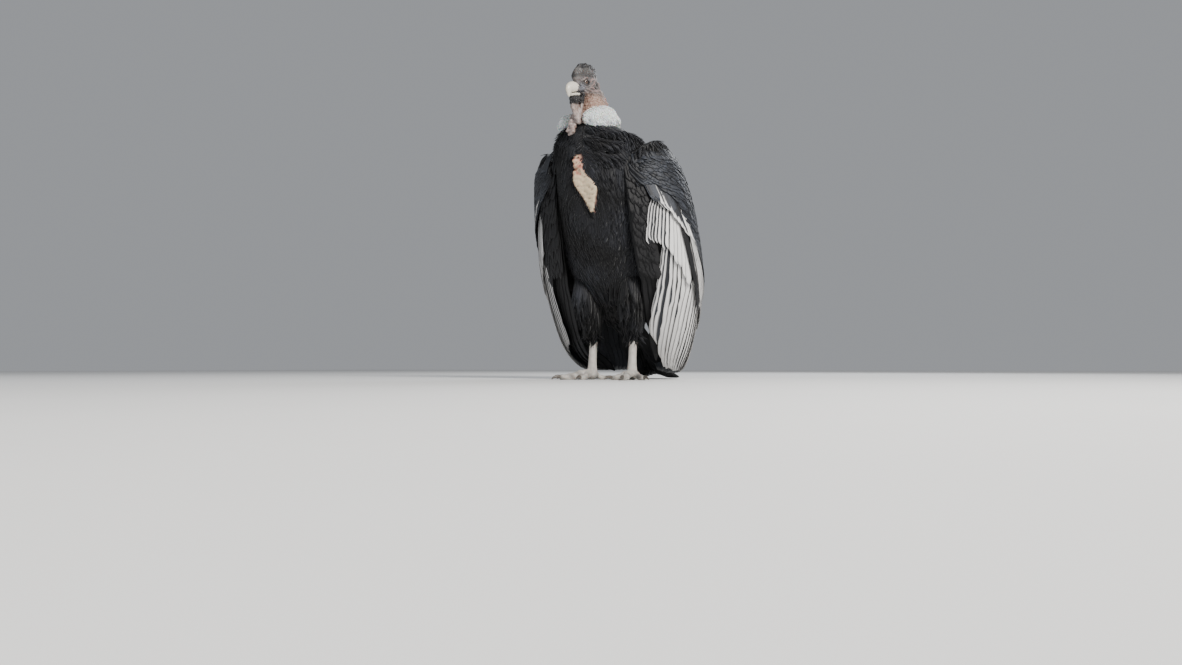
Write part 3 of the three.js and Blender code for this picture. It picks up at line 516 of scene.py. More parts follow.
# The shell that the folded wings lie on; the rows of 1 and -1 are height and how far the left and right wing spread
cloakForm = {
    "rows": [[10, 108, 64, 220], [40, 142, 92, 194], [100, 188, 124, 150], [180, 228, 146, 98], [270, 256, 164, 56],
             [370, 268, 178, 22], [480, 266, 188, -4], [590, 258, 186, -14], [680, 226, 168, -28],
             [725, 174, 132, -36], [760, 102, 84, -42]],
    1: [[40, 1.12], [100, 1.06], [180, 1.03], [280, 1.02], [370, 1], [490, 0.965], [584, 0.9], [661, 0.87],
        [720, 0.93]],
    -1: [[40, 1.42], [100, 1.24], [180, 1.06], [280, 0.955], [370, 0.935], [490, 0.91], [600, 0.93], [692, 1],
         [740, 1.12]],
    "tuckFrom": 84, "tuckTo": 36, "tuckShare": 0.13,
}
# Angle on the shell and height there of the lowest median coverts and of the wing's top
wingLines = {
    "median": [[36, 575], [60, 520], [80, 432], [110, 300], [140, 258], [176, 245]],
    "top": [[36, 668], [52, 700], [72, 722], [120, 738], [176, 742]],
    "back": 170,
}
neckForm = {"line": [(-2, -128, 735), (1, -137, 782), (4, -145, 822), (3, -152, 862)],
            "radii": [[0, 54], [1 / 3, 47], [2 / 3, 38], [1, 33]]}
# The collar: a tube round the neck with a gap at the front. front, breast and flank are the angle and the width of
# the stretches where it is thinner, thicker or lower
ruffForm = {"centre": (-16, -128, 775), "wide": 62, "deep": 60, "lean": 17, "tube": 32, "opening": 27, "turn": -16,
            "front": (16, 15), "breast": (58, 34), "flank": (118, 38)}
legForm = {"apart": 68, "tarsus": 12.5, "foot": 26, "turn": {1: 10, -1: 36}}
clawSize = {"root": 4, "length": 30, "thick": 6.2}
# Cell of the even mesh and rounds of smoothing, for each stretch of skin
skinCells = {"head": (1.3, 6), "body": (4.2, 2), "leg": (1.45, 2)}
# Name, angle, length and radius of each toe
toeList = [("inner", 36, 80, 10.5), ("middle", 0, 112, 12), ("outer", -40, 86, 10.5), ("hind", 168, 46, 9)]
# Places along the skull: forward, half width, half height, rise
skullRows = [[-50, 14, 14, -4], [-34, 27, 27, -1], [-8, 32, 32, 1], [16, 31, 31, 1], [38, 25.5, 26, -3],
             [58, 18.5, 21, -6], [74, 16, 19, -8]]
combSize = {"forward": 7, "rise": 34, "long": 64, "high": 38, "thick": 23, "lean": 0.34}
wattleSize = {"centre": (-2, -67, -38), "half": (12.5, 25, 17)}
# Points along each fold, half width, half depth at its two ends
throatFolds = {
    "lappet": ([(8, -206, 854), (2, -203, 826), (-3, -202, 795), (-12, -208, 748)], 4.5, (6, 9)),
    "nape": ([(24, -128, 852), (32, -112, 828), (34, -98, 806), (26, -94, 790)], 8, (6, 7)),
    "dewlap": ([(-20, -204, 838), (-19, -205, 806), (-15, -201, 780), (-11, -198, 758)], 13, (42, 16)),
    "breast": ([(-14, -200, 784), (-26, -206, 764), (-34, -212, 740), (-37, -216, 716)], 17, (10, 6)),
}
# Loose feathers of the left breast hang in folds: angle and height of places along each, width, how far out
shawlFolds = [
    ([(-0.10, 752), (0.16, 738), (0.34, 730), (0.56, 722)], 12, 6),
    ([(-0.02, 716), (0.22, 700), (0.46, 686), (0.66, 682), (0.84, 694)], 17, 9),
    ([(0.02, 694), (0.10, 676), (0.22, 656), (0.36, 645), (0.55, 643), (0.72, 650)], 13, 5),
    ([(0.62, 726), (0.78, 722), (0.96, 720)], 12, 6),
    ([(-0.04, 728), (0.20, 716), (0.42, 706), (0.61, 700), (0.73, 700), (0.88, 705)], 7.5, -13),
    ([(-0.03, 705), (0.14, 684), (0.20, 671), (0.33, 660)], 7, -9),
    ([(0.35, 679), (0.47, 666), (0.57, 660), (0.72, 667), (0.87, 691)], 7, -10),
    ([(0.31, 621), (0.45, 626), (0.55, 632), (0.66, 635)], 8, -6),
    ([(-0.12, 712), (-0.14, 672), (-0.16, 655)], 8, -8),
    # room for the collar
    ([(1.0, 768), (1.6, 770), (2.3, 770)], 34, -27), ([(0.62, 758), (0.9, 758), (1.25, 762)], 20, -15),
    ([(1.3, 764), (1.9, 766), (2.6, 766)], 26, -20),
]


def torsoPoint(angle, height, grow=0.0):
    wide, deep, middle = np.moveaxis(graded(bodyForm["rows"], height), -1, 0)
    turned = np.arctan2(np.sin(angle), np.cos(angle))
    breast = smooth(height, 430, 560) * fall(height, 700, 760)
    groove = 1 - bodyForm["parting"] * breast * bell(turned, bodyForm["partingWidth"])
    return np.stack([np.sin(angle) * (wide + grow) * groove, middle - np.cos(angle) * (deep + grow) * groove,
                     height + 0 * angle], -1)


def cloakSpot(side, angle, height):
    wide, deep, middle = np.moveaxis(graded(cloakForm["rows"], height), -1, 0)
    tucked = 1 - cloakForm["tuckShare"] * fall(angle, cloakForm["tuckTo"], cloakForm["tuckFrom"])
    a = np.radians(angle)
    return np.stack([side * np.sin(a) * wide * graded(cloakForm[side], height, 0) * tucked,
                     middle - np.cos(a) * deep * tucked, height + 0 * a], -1)


# A point on the shell that the folded wing lies on, and the way out of it
def cloak(side, angle, height, lift=0.0):
    angle, height = np.broadcast_arrays(np.asarray(angle, float), np.asarray(height, float))
    onward = cloakSpot(side, angle + 1, height) - cloakSpot(side, angle - 1, height)
    down = cloakSpot(side, angle, height - 4) - cloakSpot(side, angle, height + 4)
    out = unit(np.cross(down, onward) * side)
    return cloakSpot(side, angle, height) + out * np.asarray(lift)[..., None], out


def medianAt(angle):
    return graded(wingLines["median"], angle, 0)


def topAt(angle):
    return graded(wingLines["top"], angle, 0)


def shawlRise(angle, height):
    breadth = 160
    spot = np.stack([angle * breadth, height, 0 * angle], -1).reshape(-1, 3)
    rise = sum(bump(spot, [(a * breadth, h, 0) for a, h in places], width, stand, 0.2)
               for places, width, stand in shawlFolds)
    return rise.reshape(np.shape(height))


def torsoForm():
    around, inset = 96, bodyForm["coat"]
    t, size = endedShares(90, 0.35, 0.05)
    angle, height = np.meshgrid(np.arange(around) * 2 * math.pi / around,
                                mix(bodyForm["high"] - inset, bodyForm["low"] + inset, t))
    turned = np.arctan2(np.sin(angle), np.cos(angle))
    axis = np.stack([0 * height, graded(bodyForm["rows"], height, 2), height], -1)
    surface = torsoPoint(angle, height, -inset + shawlRise(turned, height))
    return closedRings(axis + (surface - axis) * size[:, None, None])


def thighLine(side):
    foot = side * legForm["apart"]
    return [(foot + side * 12, 12, 372), (foot + side * 6, -8, 290), (foot + side * 2, -4, 205), (foot, 8, 150)]


def thighForm(side):
    def place(t):
        size = graded([[0, 44, 66], [0.35, 46, 68], [0.7, 38, 48], [1, 23, 28]], t) - bodyForm["coat"]
        return curveThrough(thighLine(side), t), axial(size[:, 0], 0), axial(size[:, 1], 1)

    return loftForm(40, 40, place, 0.08)


# The flesh of the folded wing, a flat pad on the shell
def wingArmForm(side):
    def full(x):
        return (np.sign(x) * np.abs(x) ** 0.62 + 1) / 2

    x, z, y = ball(48, 40)
    angle = mix(38.0, wingLines["back"] - 2, full(x))
    height = mix(medianAt(angle) + 10, topAt(angle) - 8, full(y))
    shoulder = smooth(height, 580, 680) * smooth(angle, 40, 64)
    return closedRings(cloak(side, angle, height, np.where(z > 0, z * 5, z * mix(12, 70, shoulder)))[0])


def neckTube():
    def place(t):
        size = graded(neckForm["radii"], t, 0)
        deep = unit(np.cross(curveAhead(neckForm["line"], t), [1, 0, 0])) * (size * 1.04)[:, None]
        return curveThrough(neckForm["line"], t), axial(size, 0), deep

    return loftForm(64, 60, place, 0.06)


def foldForm(points, wide, deep):
    def place(t):
        ahead, front = curveAhead(points, t), np.array([0, -1.0, 0])
        out = unit(front - ahead * (ahead @ front)[:, None])
        across = unit(np.cross(ahead, out)) * (wide * mix(1, 0.6, t))[:, None]
        return curveThrough(points, t), across, out * mix(*deep, t)[:, None]

    return loftForm(20, 24, place, 0.2)


def skullForm():
    def place(t):
        forward = mix(-58, 74, t)
        wide, high, rise = graded(skullRows, forward).T
        return np.stack([0 * t, -forward, rise], -1), axial(wide, 0), axial(high, 2)

    points, faces = loftForm(64, 60, place, 0.07, lambda a, t: 1 - 0.07 * np.sin(a) ** 2 * np.cos(a) ** 2 + 0 * t)
    return onHead(points), faces


def combForm():
    x, y, z = ball(64, 48)
    turn, up = np.arctan2(z, y), np.maximum(0, z)
    lobe = 1 + (0.03 * np.cos(5 * turn + 0.6) + 0.009 * np.sin(13 * turn)) * up
    points, faces = closedRings(np.stack([
        x * (combSize["thick"] * mix(1, 0.62, up)) + combSize["lean"] * combSize["high"] * up,
        -combSize["forward"] - y * combSize["long"] * lobe,
        combSize["rise"] + z * combSize["high"] * lobe + y * 1.5], -1))
    return onHead(points), faces


print("forms ready")


# The marks of a stretch of skin; one that isn't given is nowhere
def skinMarks(count, **given):
    return {name: held(np.zeros(count) + given.get(name, 0)) for name in skinMarkNames}


# Rings of skin round a part of the face: how far out, at which distance, how wide
faceRings = {
    "eye": [(4.2, 9.2, 1.8), (-1.4, 13.0, 1.5), (1.3, 16.0, 1.6), (-0.7, 19.2, 1.5)],
    "ear": [(-5.5, 0, 4.0), (2.8, 7.0, 2.0), (-1.5, 11.0, 1.6), (1.8, 14.5, 2.0)],
    "nostril": [(-4.5, 0, 2.8), (1.4, 5.0, 1.5)],
}
# Folds of the face: places forward and up, width, height
faceFolds = [
    ([(20, 6), (12, 16), (-2, 20), (-24, 15)], 2.4, 2.6), ([(22, -2), (8, 2), (2, 10), (-6, 13)], 2.2, 2.4),
    ([(28, -6), (10, -8), (-4, -16), (-22, -20)], 2.6, 2.4), ([(40, -8), (26, -14), (8, -18), (-10, -24)], 2.4, 2.2),
    ([(46, -14), (34, -20), (18, -25)], 2.2, 2.0), ([(50, 14), (42, 20), (30, 24), (16, 22)], 2.2, 2.8),
    ([(-26, 12), (-32, 2), (-33, -10)], 2.4, 2.2), ([(56, -2), (50, -8), (46, -16)], 2.0, 1.6),
    ([(-22, -4), (-28, -12), (-34, -20)], 2.0, 1.8),
]
# Pale stretches along the front of the throat: line, width, how pale
paleLines = [
    ([(10, -212, 852), (4, -211, 826), (-1, -211, 795), (-10, -216, 748)], 6, 1.0),
    ([(-24, -246, 830), (-25, -246, 804), (-26, -236, 770), (-24, -226, 740)], 24, 0.75),
    ([(-20, -206, 784), (-30, -214, 764), (-38, -222, 738), (-39, -225, 706)], 20, 1.0),
]


def headSkin():
    wattle, faces = eggForm(wattleSize["centre"], wattleSize["half"])
    forms = [skullForm(), combForm(), neckTube(), (onHead(wattle), faces)]
    mesh = melted("headSkin", forms + [foldForm(*fold) for fold in throatFolds.values()], *skinCells["head"])
    points, normals = shapeOf(mesh)
    height = points[:, 2]
    local = inHead(points)
    x, forward, rise = np.abs(local[:, 0]), -local[:, 1], local[:, 2]
    flat = np.stack([0 * x, -forward, rise], -1)
    skull = graded(skullRows, forward)
    onFace = smooth(skull[:, 1] + 6 - np.abs(rise - skull[:, 2]), 0, 4) * smooth(forward, -50, -30)
    side = smooth(x, 7, 14) * onFace

    eye = np.hypot((forward - eyeSize["forward"]) / 1.15, rise - eyeSize["rise"])
    ear = np.hypot(forward + 9, (rise + 3) / 1.15)
    nostril = np.hypot((forward - 62) / 1.8, rise - 1)
    push = sum(side * sum(out * bell(far - at, wide) for out, at, wide in faceRings[name])
               for name, far in (("eye", eye), ("ear", ear), ("nostril", nostril)))
    folds = sum(bump(flat, [(0, -f, r) for f, r in line], width, out) for line, width, out in faceFolds)
    push += side * (folds - 0.6)
    # comb: soft swellings and a few shallow creases; the whole face is finely pleated
    swellings, creases = ripple(local * [1, 1, 0.7], 22, 5), bell(ripple(local * [1, 0.5, 1.3], 20, 6), 0.22)
    push += smooth(rise, 28, 40) * (0.7 * swellings - 0.9 * creases + 0.25 * ripple(local * [1, 1.4, 0.6], 7, 3))
    push += onFace * (0.28 * ripple(local, 5.0, 11) + 0.45 * ripple(local * [1, 0.6, 1.5], 11, 12))

    # neck: slanting wrinkles that run down and forward, loose at the back, none on the hanging folds
    neckShare = (1 - smooth(rise, -30, -16) * smooth(forward, -44, -34)) * fall(rise, 16, 26)
    # the wattle, whose near-black colour is painted shadow under the bill
    wattle = neckShare * smooth(forward, 34, 46) * smooth(rise, -58, -50)
    neckShare = neckShare * (1 - wattle)
    hanging = held(sum(bump(points, np.array(line) - ([0, 14, 0] if name == "dewlap" else 0),
                            22 if name == "dewlap" else 12, 1, 0.02) for name, (line, *_) in throatFolds.items()))
    slant = height + 0.55 * points[:, 1] - 0.25 * np.abs(points[:, 0]) + 3.0 * ripple(points, 44, 21)
    pleat = np.abs(np.sin(slant * math.pi / 10.5))
    pleated = neckShare * (1 - 0.8 * hanging)
    push += pleated * (1.9 * pleat ** 0.7 - 1.2 + 0.5 * ripple(points * [1, 1, 2.2], 8, 22))
    push += pleated * 1.2 * (1 - held(np.abs(ripple(points * [1, 1, 0.6], 22, 23))))
    push += neckShare * hanging * (0.9 * ripple(points * [1.6, 1, 0.5], 13, 25))
    under = bump(points, throatFolds["breast"][0], 26, 1, 0.02) * (height < 768)
    push += neckShare * under * (3.4 * ripple(points * [1, 0.4, 1], 21, 26) - 1.2)
    push += wattle * (0.8 * ripple(local, 7, 24) + 0.6 * np.sin(local[:, 2] * 0.9 + local[:, 1] * 0.2))
    moved = points + normals * push[:, None]

    # the socket lies just behind the front of the eyeball
    local = inHead(moved)
    x, forward, rise = np.abs(local[:, 0]), -local[:, 1], local[:, 2]
    eye = np.hypot((forward - eyeSize["forward"]) / 1.15,
                   (rise - eyeSize["rise"]) * mix(1.0, 1.25, rise > eyeSize["rise"]))
    front = eyeSize["apart"] + np.sqrt(np.maximum(0, eyeSize["radius"] ** 2 - eye ** 2)) - 1.8
    local[:, 0] = np.where((eye < 6.6) & (x > 8), np.sign(local[:, 0]) * np.minimum(x, front), local[:, 0])
    points = onHead(local)
    setPoints(mesh, points)

    # colours: pinkish grey face, taupe comb with a dark rim, near-black wattle painted as the shadow under the bill,
    # neck from grey to a warm pink brown
    comb = smooth(rise, 25, 31) * (height > 870)
    rim = smooth(rise + 0.30 * np.maximum(0, 14 - forward) + 2.0 * ripple(local, 26, 71), 52, 59)
    rim = np.maximum(rim, 0.7 * smooth(forward, 62, 68) * fall(rise, 40, 46))
    rim = np.maximum(rim, smooth(-forward + 0.25 * rise, 30, 46))
    warm = fall(height + 0.5 * (points[:, 1] + 150), 812, 846)
    neck = neckShare * mix(0.30, 1, warm) * (1 - 0.6 * hanging * (forward > -10)) * (1 - comb)
    mouth = bump(flat, [(0, -44, -16), (0, -58, -18), (0, -72, -19)], 3.0, 1.0, 0.02)
    # the comb's rim is dark; painted shade fills the ear opening and the fold round the back of the ear
    dark = 0.95 * comb * rim + side * (0.95 * bell(ear - 8.5, 2.2) * (forward < -4) + 0.9 * bell(ear, 3.2))
    # painted shade in the nostrils and round the edge of the eye socket
    dark = dark + side * (0.95 * bell(nostril, 3.0) + 0.75 * bell(eye - 7.6, 1.8))
    # painted shade on the skin between the face folds
    dark = dark + 0.35 * side * fall(folds, 0.0, 1.2) * smooth(forward, -30, 0)
    # the near-black wattle is painted shadow under the bill, the creases of the neck pleats get painted shade, and the
    # mouth line is dark
    dark = dark + (0.97 * wattle + 0.4 * neckShare * fall(pleat, 0.05, 0.45)) + 0.9 * mouth * onFace
    flush = 0.30 * neckShare * warm * fall(pleat, 0.1, 0.6)
    flush = flush + 0.75 * bump(points, [(34, -126, 846), (46, -112, 818), (46, -102, 796)], 4.5, 1)
    flush = flush + 0.22 * side * smooth(folds, 0.6, 2.0) * fall(forward, 20, 40)
    pale = neckShare * sum(bump(points, line, width, share, 0.02) for line, width, share in paleLines)
    return mesh, skinMarks(len(x), face=1, comb=comb, neck=neck, dark=dark, flush=flush,
                           # the crests of the face folds are painted paler: a painted highlight
                           pale=pale + 0.30 * side * smooth(folds, 0.8, 2.2),
                           # the lore patch: grey-blue skin with a painted highlight
                           lore=onFace * bell(forward - 54, 12) * bell(rise + 6, 13))


# The bare wedge over the crop: how far down it, half width, how far aside, as on the solids
cropRows = [[0, 14, -20], [0.3, 22, -14], [0.46, 37, 0], [0.56, 39, 10], [0.75, 23, 17], [1, 5, 22]]
cropWedge = {"top": 656, "long": 164, "breadth": 166}


# How far inside the wedge a place on the front is: 1 in it, 0 outside
def cropShare(points, turned, middle, grow=0.0):
    height = points[:, 2]
    top, low = cropWedge["top"], cropWedge["top"] - cropWedge["long"]
    wide, aside = graded(cropRows, held((top - height) / cropWedge["long"])).T
    inside = fall(np.abs(turned * cropWedge["breadth"] - aside) / (wide + grow), 0.88, 1.0) * (points[:, 1] < middle)
    return inside * smooth(height, low - 4 - grow, low + 4 - grow) * fall(height, top - 2 + grow, top + 4 + grow)


def bodySkin():
    forms = [torsoForm()] + [form(side) for side in (1, -1) for form in (thighForm, wingArmForm)]
    mesh = melted("bodySkin", forms, *skinCells["body"])
    points, normals = shapeOf(mesh)
    height = points[:, 2]
    middle = graded(bodyForm["rows"], height, 2)
    turned = np.arctan2(points[:, 0], -(points[:, 1] - middle))
    crop = cropShare(points, turned, middle)
    crease = np.abs(np.sin((height + 0.30 * points[:, 0] + 3 * ripple(points, 50, 32)) * math.pi / 15)) ** 0.5
    upper = smooth(height, 596, 606)
    lumps = upper * (3.5 * ripple(points * [1, 1, 1.3], 20, 33) - 2)
    moved = points + normals * (crop * (5.5 + 3.6 * crease + 0.4 * ripple(points, 10, 31) + lumps))[:, None]
    setPoints(mesh, moved)
    redder = 0.55 + 0.6 * ripple(moved * [1, 1, 1.3], 14, 34)
    flush = 0.5 * cropShare(moved, turned, middle, 5) * (1 - crop) + crop * upper * redder
    flush = flush + crop * 0.5 * fall(crease, 0.05, 0.45) * smooth(moved[:, 2], 520, 560)
    # all but the crop is near black under the feathers; the crop's creases get painted shade
    dark = 1 - held(crop + flush) + 0.6 * crop * fall(crease, 0.05, 0.5)
    return mesh, skinMarks(len(points), crop=crop, dark=dark, flush=flush), turned


def toeLine(side, turn, length, radius):
    turn = math.radians(turn - legForm["turn"][side])
    start = np.array([side * legForm["apart"], -4, legForm["foot"] - 4.0])
    line = [start]
    for share, rise in ((0.34, 1.5), (0.68, 0.76), (1, 0.6)):
        spot = start + np.array([-side * math.sin(turn), -math.cos(turn), 0]) * length * share
        spot[2] = radius * rise
        line.append(spot)
    return line


# A form that follows a level line: how wide and how deep it is along it
def limbForm(around, along, line, cap, size, wide, deep, swell=None):
    def place(t):
        ahead = curveAhead(line, t)
        across = unit(np.cross(ahead, [0, 0, 1.0]))
        thick = size(t)[:, None]
        return curveThrough(line, t), across * thick * wide, unit(np.cross(across, ahead)) * thick * deep

    return loftForm(around, along, place, cap, swell)


def toeForm(line, radius, scutes):
    # plates across the upper side, each with a raised front edge
    def swell(angle, t):
        step = (t * scutes) % 1
        return 1 + 0.085 * smooth(np.cos(angle), -0.1, 0.5) * (step ** 2 - 0.35) + 0.02 * np.cos(angle * 9)

    def size(t):
        return radius * mix(1.15, 0.74, t) * (1 + 0.09 * np.cos(t * 6 * math.pi))

    return limbForm(40, scutes * 7, line, 0.07, size, 1.02, 0.95, swell)


def tarsusForm(side):
    foot = side * legForm["apart"]
    line = [(foot + side, 10, 176), (foot, 9, 130), (foot, 2, 70), (foot, -2, 18)]

    def place(t):
        size = legForm["tarsus"] * graded([[0, 1.25], [0.25, 1.2], [0.5, 0.98], [0.8, 1.05], [1, 1.35]], t, 0)
        return curveThrough(line, t), axial(size, 0), axial(size * 1.08, 1)

    def swell(angle, t):
        step = (t * 22) % 1
        return 1 + 0.05 * smooth(-np.cos(angle), 0.1, 0.7) * (step - 0.4) + 0.018 * np.sin(angle * 8 + 5 * t)

    return loftForm(40, 110, place, 0.06, swell)


def clawLine(line):
    end = curveThrough(line, 0.97)[0]
    way = curveAhead(line, 1.0)[0] * [1, 1, 0]
    way = way / np.linalg.norm(way)
    tip = end + way * clawSize["length"]
    tip[2] = 1.6
    return [end - way * clawSize["root"] + [0, 0, 1], end + way * clawSize["length"] * 0.4 + [0, 0, 3.5],
            end + way * clawSize["length"] * 0.8 + [0, 0, -0.5], tip]


def legSkin():
    forms = []
    for side in (1, -1):
        forms += [tarsusForm(side), eggForm((side * legForm["apart"], -4, 14), (19, 21, 15), 40, 24)]
        for _, angle, length, radius in toeList:
            forms.append(toeForm(toeLine(side, angle, length, radius), radius, max(6, int(length / 7))))
    mesh = melted("legSkin", forms, *skinCells["leg"])
    points = shapeOf(mesh)[0]
    points[:, 2] = np.maximum(points[:, 2], 0)
    setPoints(mesh, points)
    height = points[:, 2]
    # darker towards the floor, in patches
    lowDarkening = np.clip(0.55 * fall(height, 8, 34) * (0.55 + 0.5 * ripple(points, 30, 41)), 0, 0.75)
    return mesh, skinMarks(len(points), legs=1, dark=lowDarkening, pale=0.35 * smooth(height, 60, 150))


skinLook = skinMaterial()
bodyMesh, bodyMarks, bodyTurned = bodySkin()
skinPieces = []
for mesh, marks in (headSkin(), (bodyMesh, bodyMarks), legSkin()):
    for name, values in marks.items():
        addMark(mesh, name, values)
    skinPieces.append(showMesh(mesh, skinLook))
bodySource = bodyMesh.copy()  # what the body feathers grow on
skin = skinPieces[0]
with bpy.context.temp_override(active_object=skin, selected_editable_objects=skinPieces, object=skin,
                               selected_objects=skinPieces):
    bpy.ops.object.join()
skin.name = skin.data.name = "skin"
ridePiece(skin, "neck_skin", "torso", "crop_skin", "neck", "head", "comb",
          *[f"{name}_{side}" for name in ("thigh", "tarsus", "foot") for side in ("left", "right")])
print("skin")

billSize = {"depth": 17, "width": 14.5, "from": 60, "length": 46, "hook": 27, "mouth": -17.5}
jawSize = {"depth": 7, "width": 11.5, "from": 56, "length": 40, "rise": -24, "top": -18.0}
hornLook = hornMaterial("ivoryBill", *hornLooks["bill"], 0.36)
clawLook = hornMaterial("darkClaw", *hornLooks["claw"], 0.4)
eyeLook = eyeMaterial()


def billForm():
    start, long, hook = billSize["from"], billSize["length"], billSize["hook"]
    line = [(0, -start - long * share, rise) for share, rise in ((0, -5), (0.45, -2), (0.88, -9), (1, -hook - 6))]

    def place(t):
        wide, deep = graded([[0, 1, 0.92], [0.35, 0.95, 1], [0.7, 0.66, 0.82], [1, 0.16, 0.24]], t).T
        up = unit(np.cross([1.0, 0, 0], curveAhead(line, t)))
        return curveThrough(line, t), axial(billSize["width"] * wide, 0), up * (billSize["depth"] * deep)[:, None]

    # a ridge along the top and a cutting edge that bulges over the lower bill
    def swell(angle, t):
        return 1 + 0.03 * bell(np.sin(angle / 2), 0.25) - 0.06 * np.sin(angle) ** 2 * np.cos(angle) ** 2 + 0 * t

    points, faces = loftForm(48, 44, place, 0.06, swell)
    share = held((-points[:, 1] - start) / long)
    # flattened underneath, so that the lower bill closes against it
    edge = billSize["mouth"] - 16 * smooth(share, 0.62, 1.0) + 1.6 * np.sin(share * 7)
    flattened = mix(points[:, 2], edge, 0.86 * fall(share, 0.7, 0.95))
    points[:, 2] = np.where(points[:, 2] < edge, flattened, points[:, 2])
    return points, faces, mix(0.15, 0.85, share)


def jawForm():
    start, long = jawSize["from"], jawSize["length"]

    def place(t):
        middle = np.stack([0 * t, -start - long * t, jawSize["rise"] - 2 * t], -1)
        return middle, axial(jawSize["width"] * mix(1, 0.5, t * t), 0), axial(jawSize["depth"] * mix(1, 0.5, t), 2)

    points, faces = loftForm(36, 26, place, 0.12)
    points[:, 2] = np.minimum(points[:, 2], jawSize["top"])
    return points, faces, 0.3 + 0.4 * held((-points[:, 1] - start) / long)


for label, side in (("left", 1), ("right", -1)):
    points, faces = eggForm((0, 0, 0), [eyeSize["radius"]] * 3, 40, 28, Matrix.Rotation(math.radians(90), 3, "Y"))
    facing = unit(np.array([side * 1.0, -0.22, 0.04]))
    ring = np.degrees(np.arccos(np.clip(unit(points) @ facing, -1, 1))) / eyeSize["iris"]
    points = points * (1 + eyeSize["bulge"] * bell(ring, 0.7))[:, None]
    centre = np.array([side * eyeSize["apart"], -eyeSize["forward"], eyeSize["rise"]])
    mesh = rawMesh(f"eyeball_{label}", onHead(points + centre), faces)
    addMark(mesh, "ring", held(ring))
    ridePiece(showMesh(mesh, eyeLook), "iris", f"eye_{label}")
for name, node, (points, faces, share) in (("upperBill", "bill_upper", billForm()),
                                           ("lowerBill", "bill_lower", jawForm())):
    mesh = rawMesh(name, onHead(points), faces)
    addMark(mesh, "along", share)
    ridePiece(showMesh(mesh, hornLook), "bill_horn", node)
for label, side in (("left", 1), ("right", -1)):
    for name, angle, length, radius in toeList:
        line = clawLine(toeLine(side, angle, length, radius))
        thick = clawSize["thick"] * radius / 12
        points, faces = limbForm(16, 18, line, 0.08, lambda t: mix(1, 0.2, t ** 1.3) * thick, 0.85, 1)
        share = np.linalg.norm(points[:, :2] - line[0][:2], axis=1) / (clawSize["root"] + clawSize["length"])
        points[:, 2] = np.maximum(points[:, 2], 0.3)
        mesh = rawMesh(f"claw_{label}_{name}Horn", points, faces)
        addMark(mesh, "along", held(share))
        ridePiece(showMesh(mesh, clawLook), "claw_horn", f"claw_{label}_{name}")
print("eyes, bill and claws")

# Long feathers. For each kind: columns of its mesh, tilt, camber and thickness of the vane, how ragged its edges are,
# how many splits, height of the shaft
vaneKinds = {
    "secondary": (17, 2.0, 0.8, 0.6, 0.22, 5, 0.8), "greaterCovert": (13, 2.0, 0.8, 0.5, 0.2, 3, 0.7),
    "band": (11, 1.8, 0.8, 0.5, 0.2, 3, 0.7), "shoulder": (7, 1.6, 1.0, 0.5, 0.25, 3, 0.7),
    "medianCovert": (11, 1.2, 1.0, 0.45, 0.2, 3, 0.7), "lesserCovert": (5, 0.9, 0.7, 0.4, 0.12, 2, 0.3),
    "primary": (7, 1.5, 1.0, 0.6, 0.4, 6, 0.8), "dark": (7, 0.6, 1.2, 0.5, 0.3, 3, 0.7),
    "hand": (5, 1.0, 0.8, 0.4, 0.2, 3, 0.7), "tail": (7, 0.0, 1.6, 0.5, 0.3, 5, 0.9),
}
# How soft the edge of the white is, and how dark it gets at the tip and at the base
whiteEdges = {"secondary": (0.05, 0.15, 0.0), "greaterCovert": (0.08, 0.0, 0.35), "band": (0.1, 0.1, 0.0),
              "medianCovert": (0.08, 0.0, 0.3)}
wingFeathers = {
    "secondaries": 26, "medianCoverts": 40, "lesserRows": 15, "lesserCount": 44, "shoulderCount": 11,
    "primaries": 10, "primaryCoverts": 12, "handRows": 8, "bandFeathers": 6,
    # angle where the white starts on each wing, and how far the front feathers sweep forward to their tips
    1: {"start": 65, "sweep": 24, "bunch": 1.35, "covertStart": 54, "covertSweep": 9, "white": (0.45, 0.97),
        "hand": 48},
    -1: {"start": 63, "sweep": 0, "bunch": 1.12, "covertStart": 61, "covertSweep": 1, "white": (0.42, 0.8),
         "hand": 58},
}
tailForm = {"line": ((0, 150, 200), (0, 318, 16), (0, 392, 20)), "pairs": 6, "length": 330, "width": 56, "apart": 1.7,
            "spread": 9}


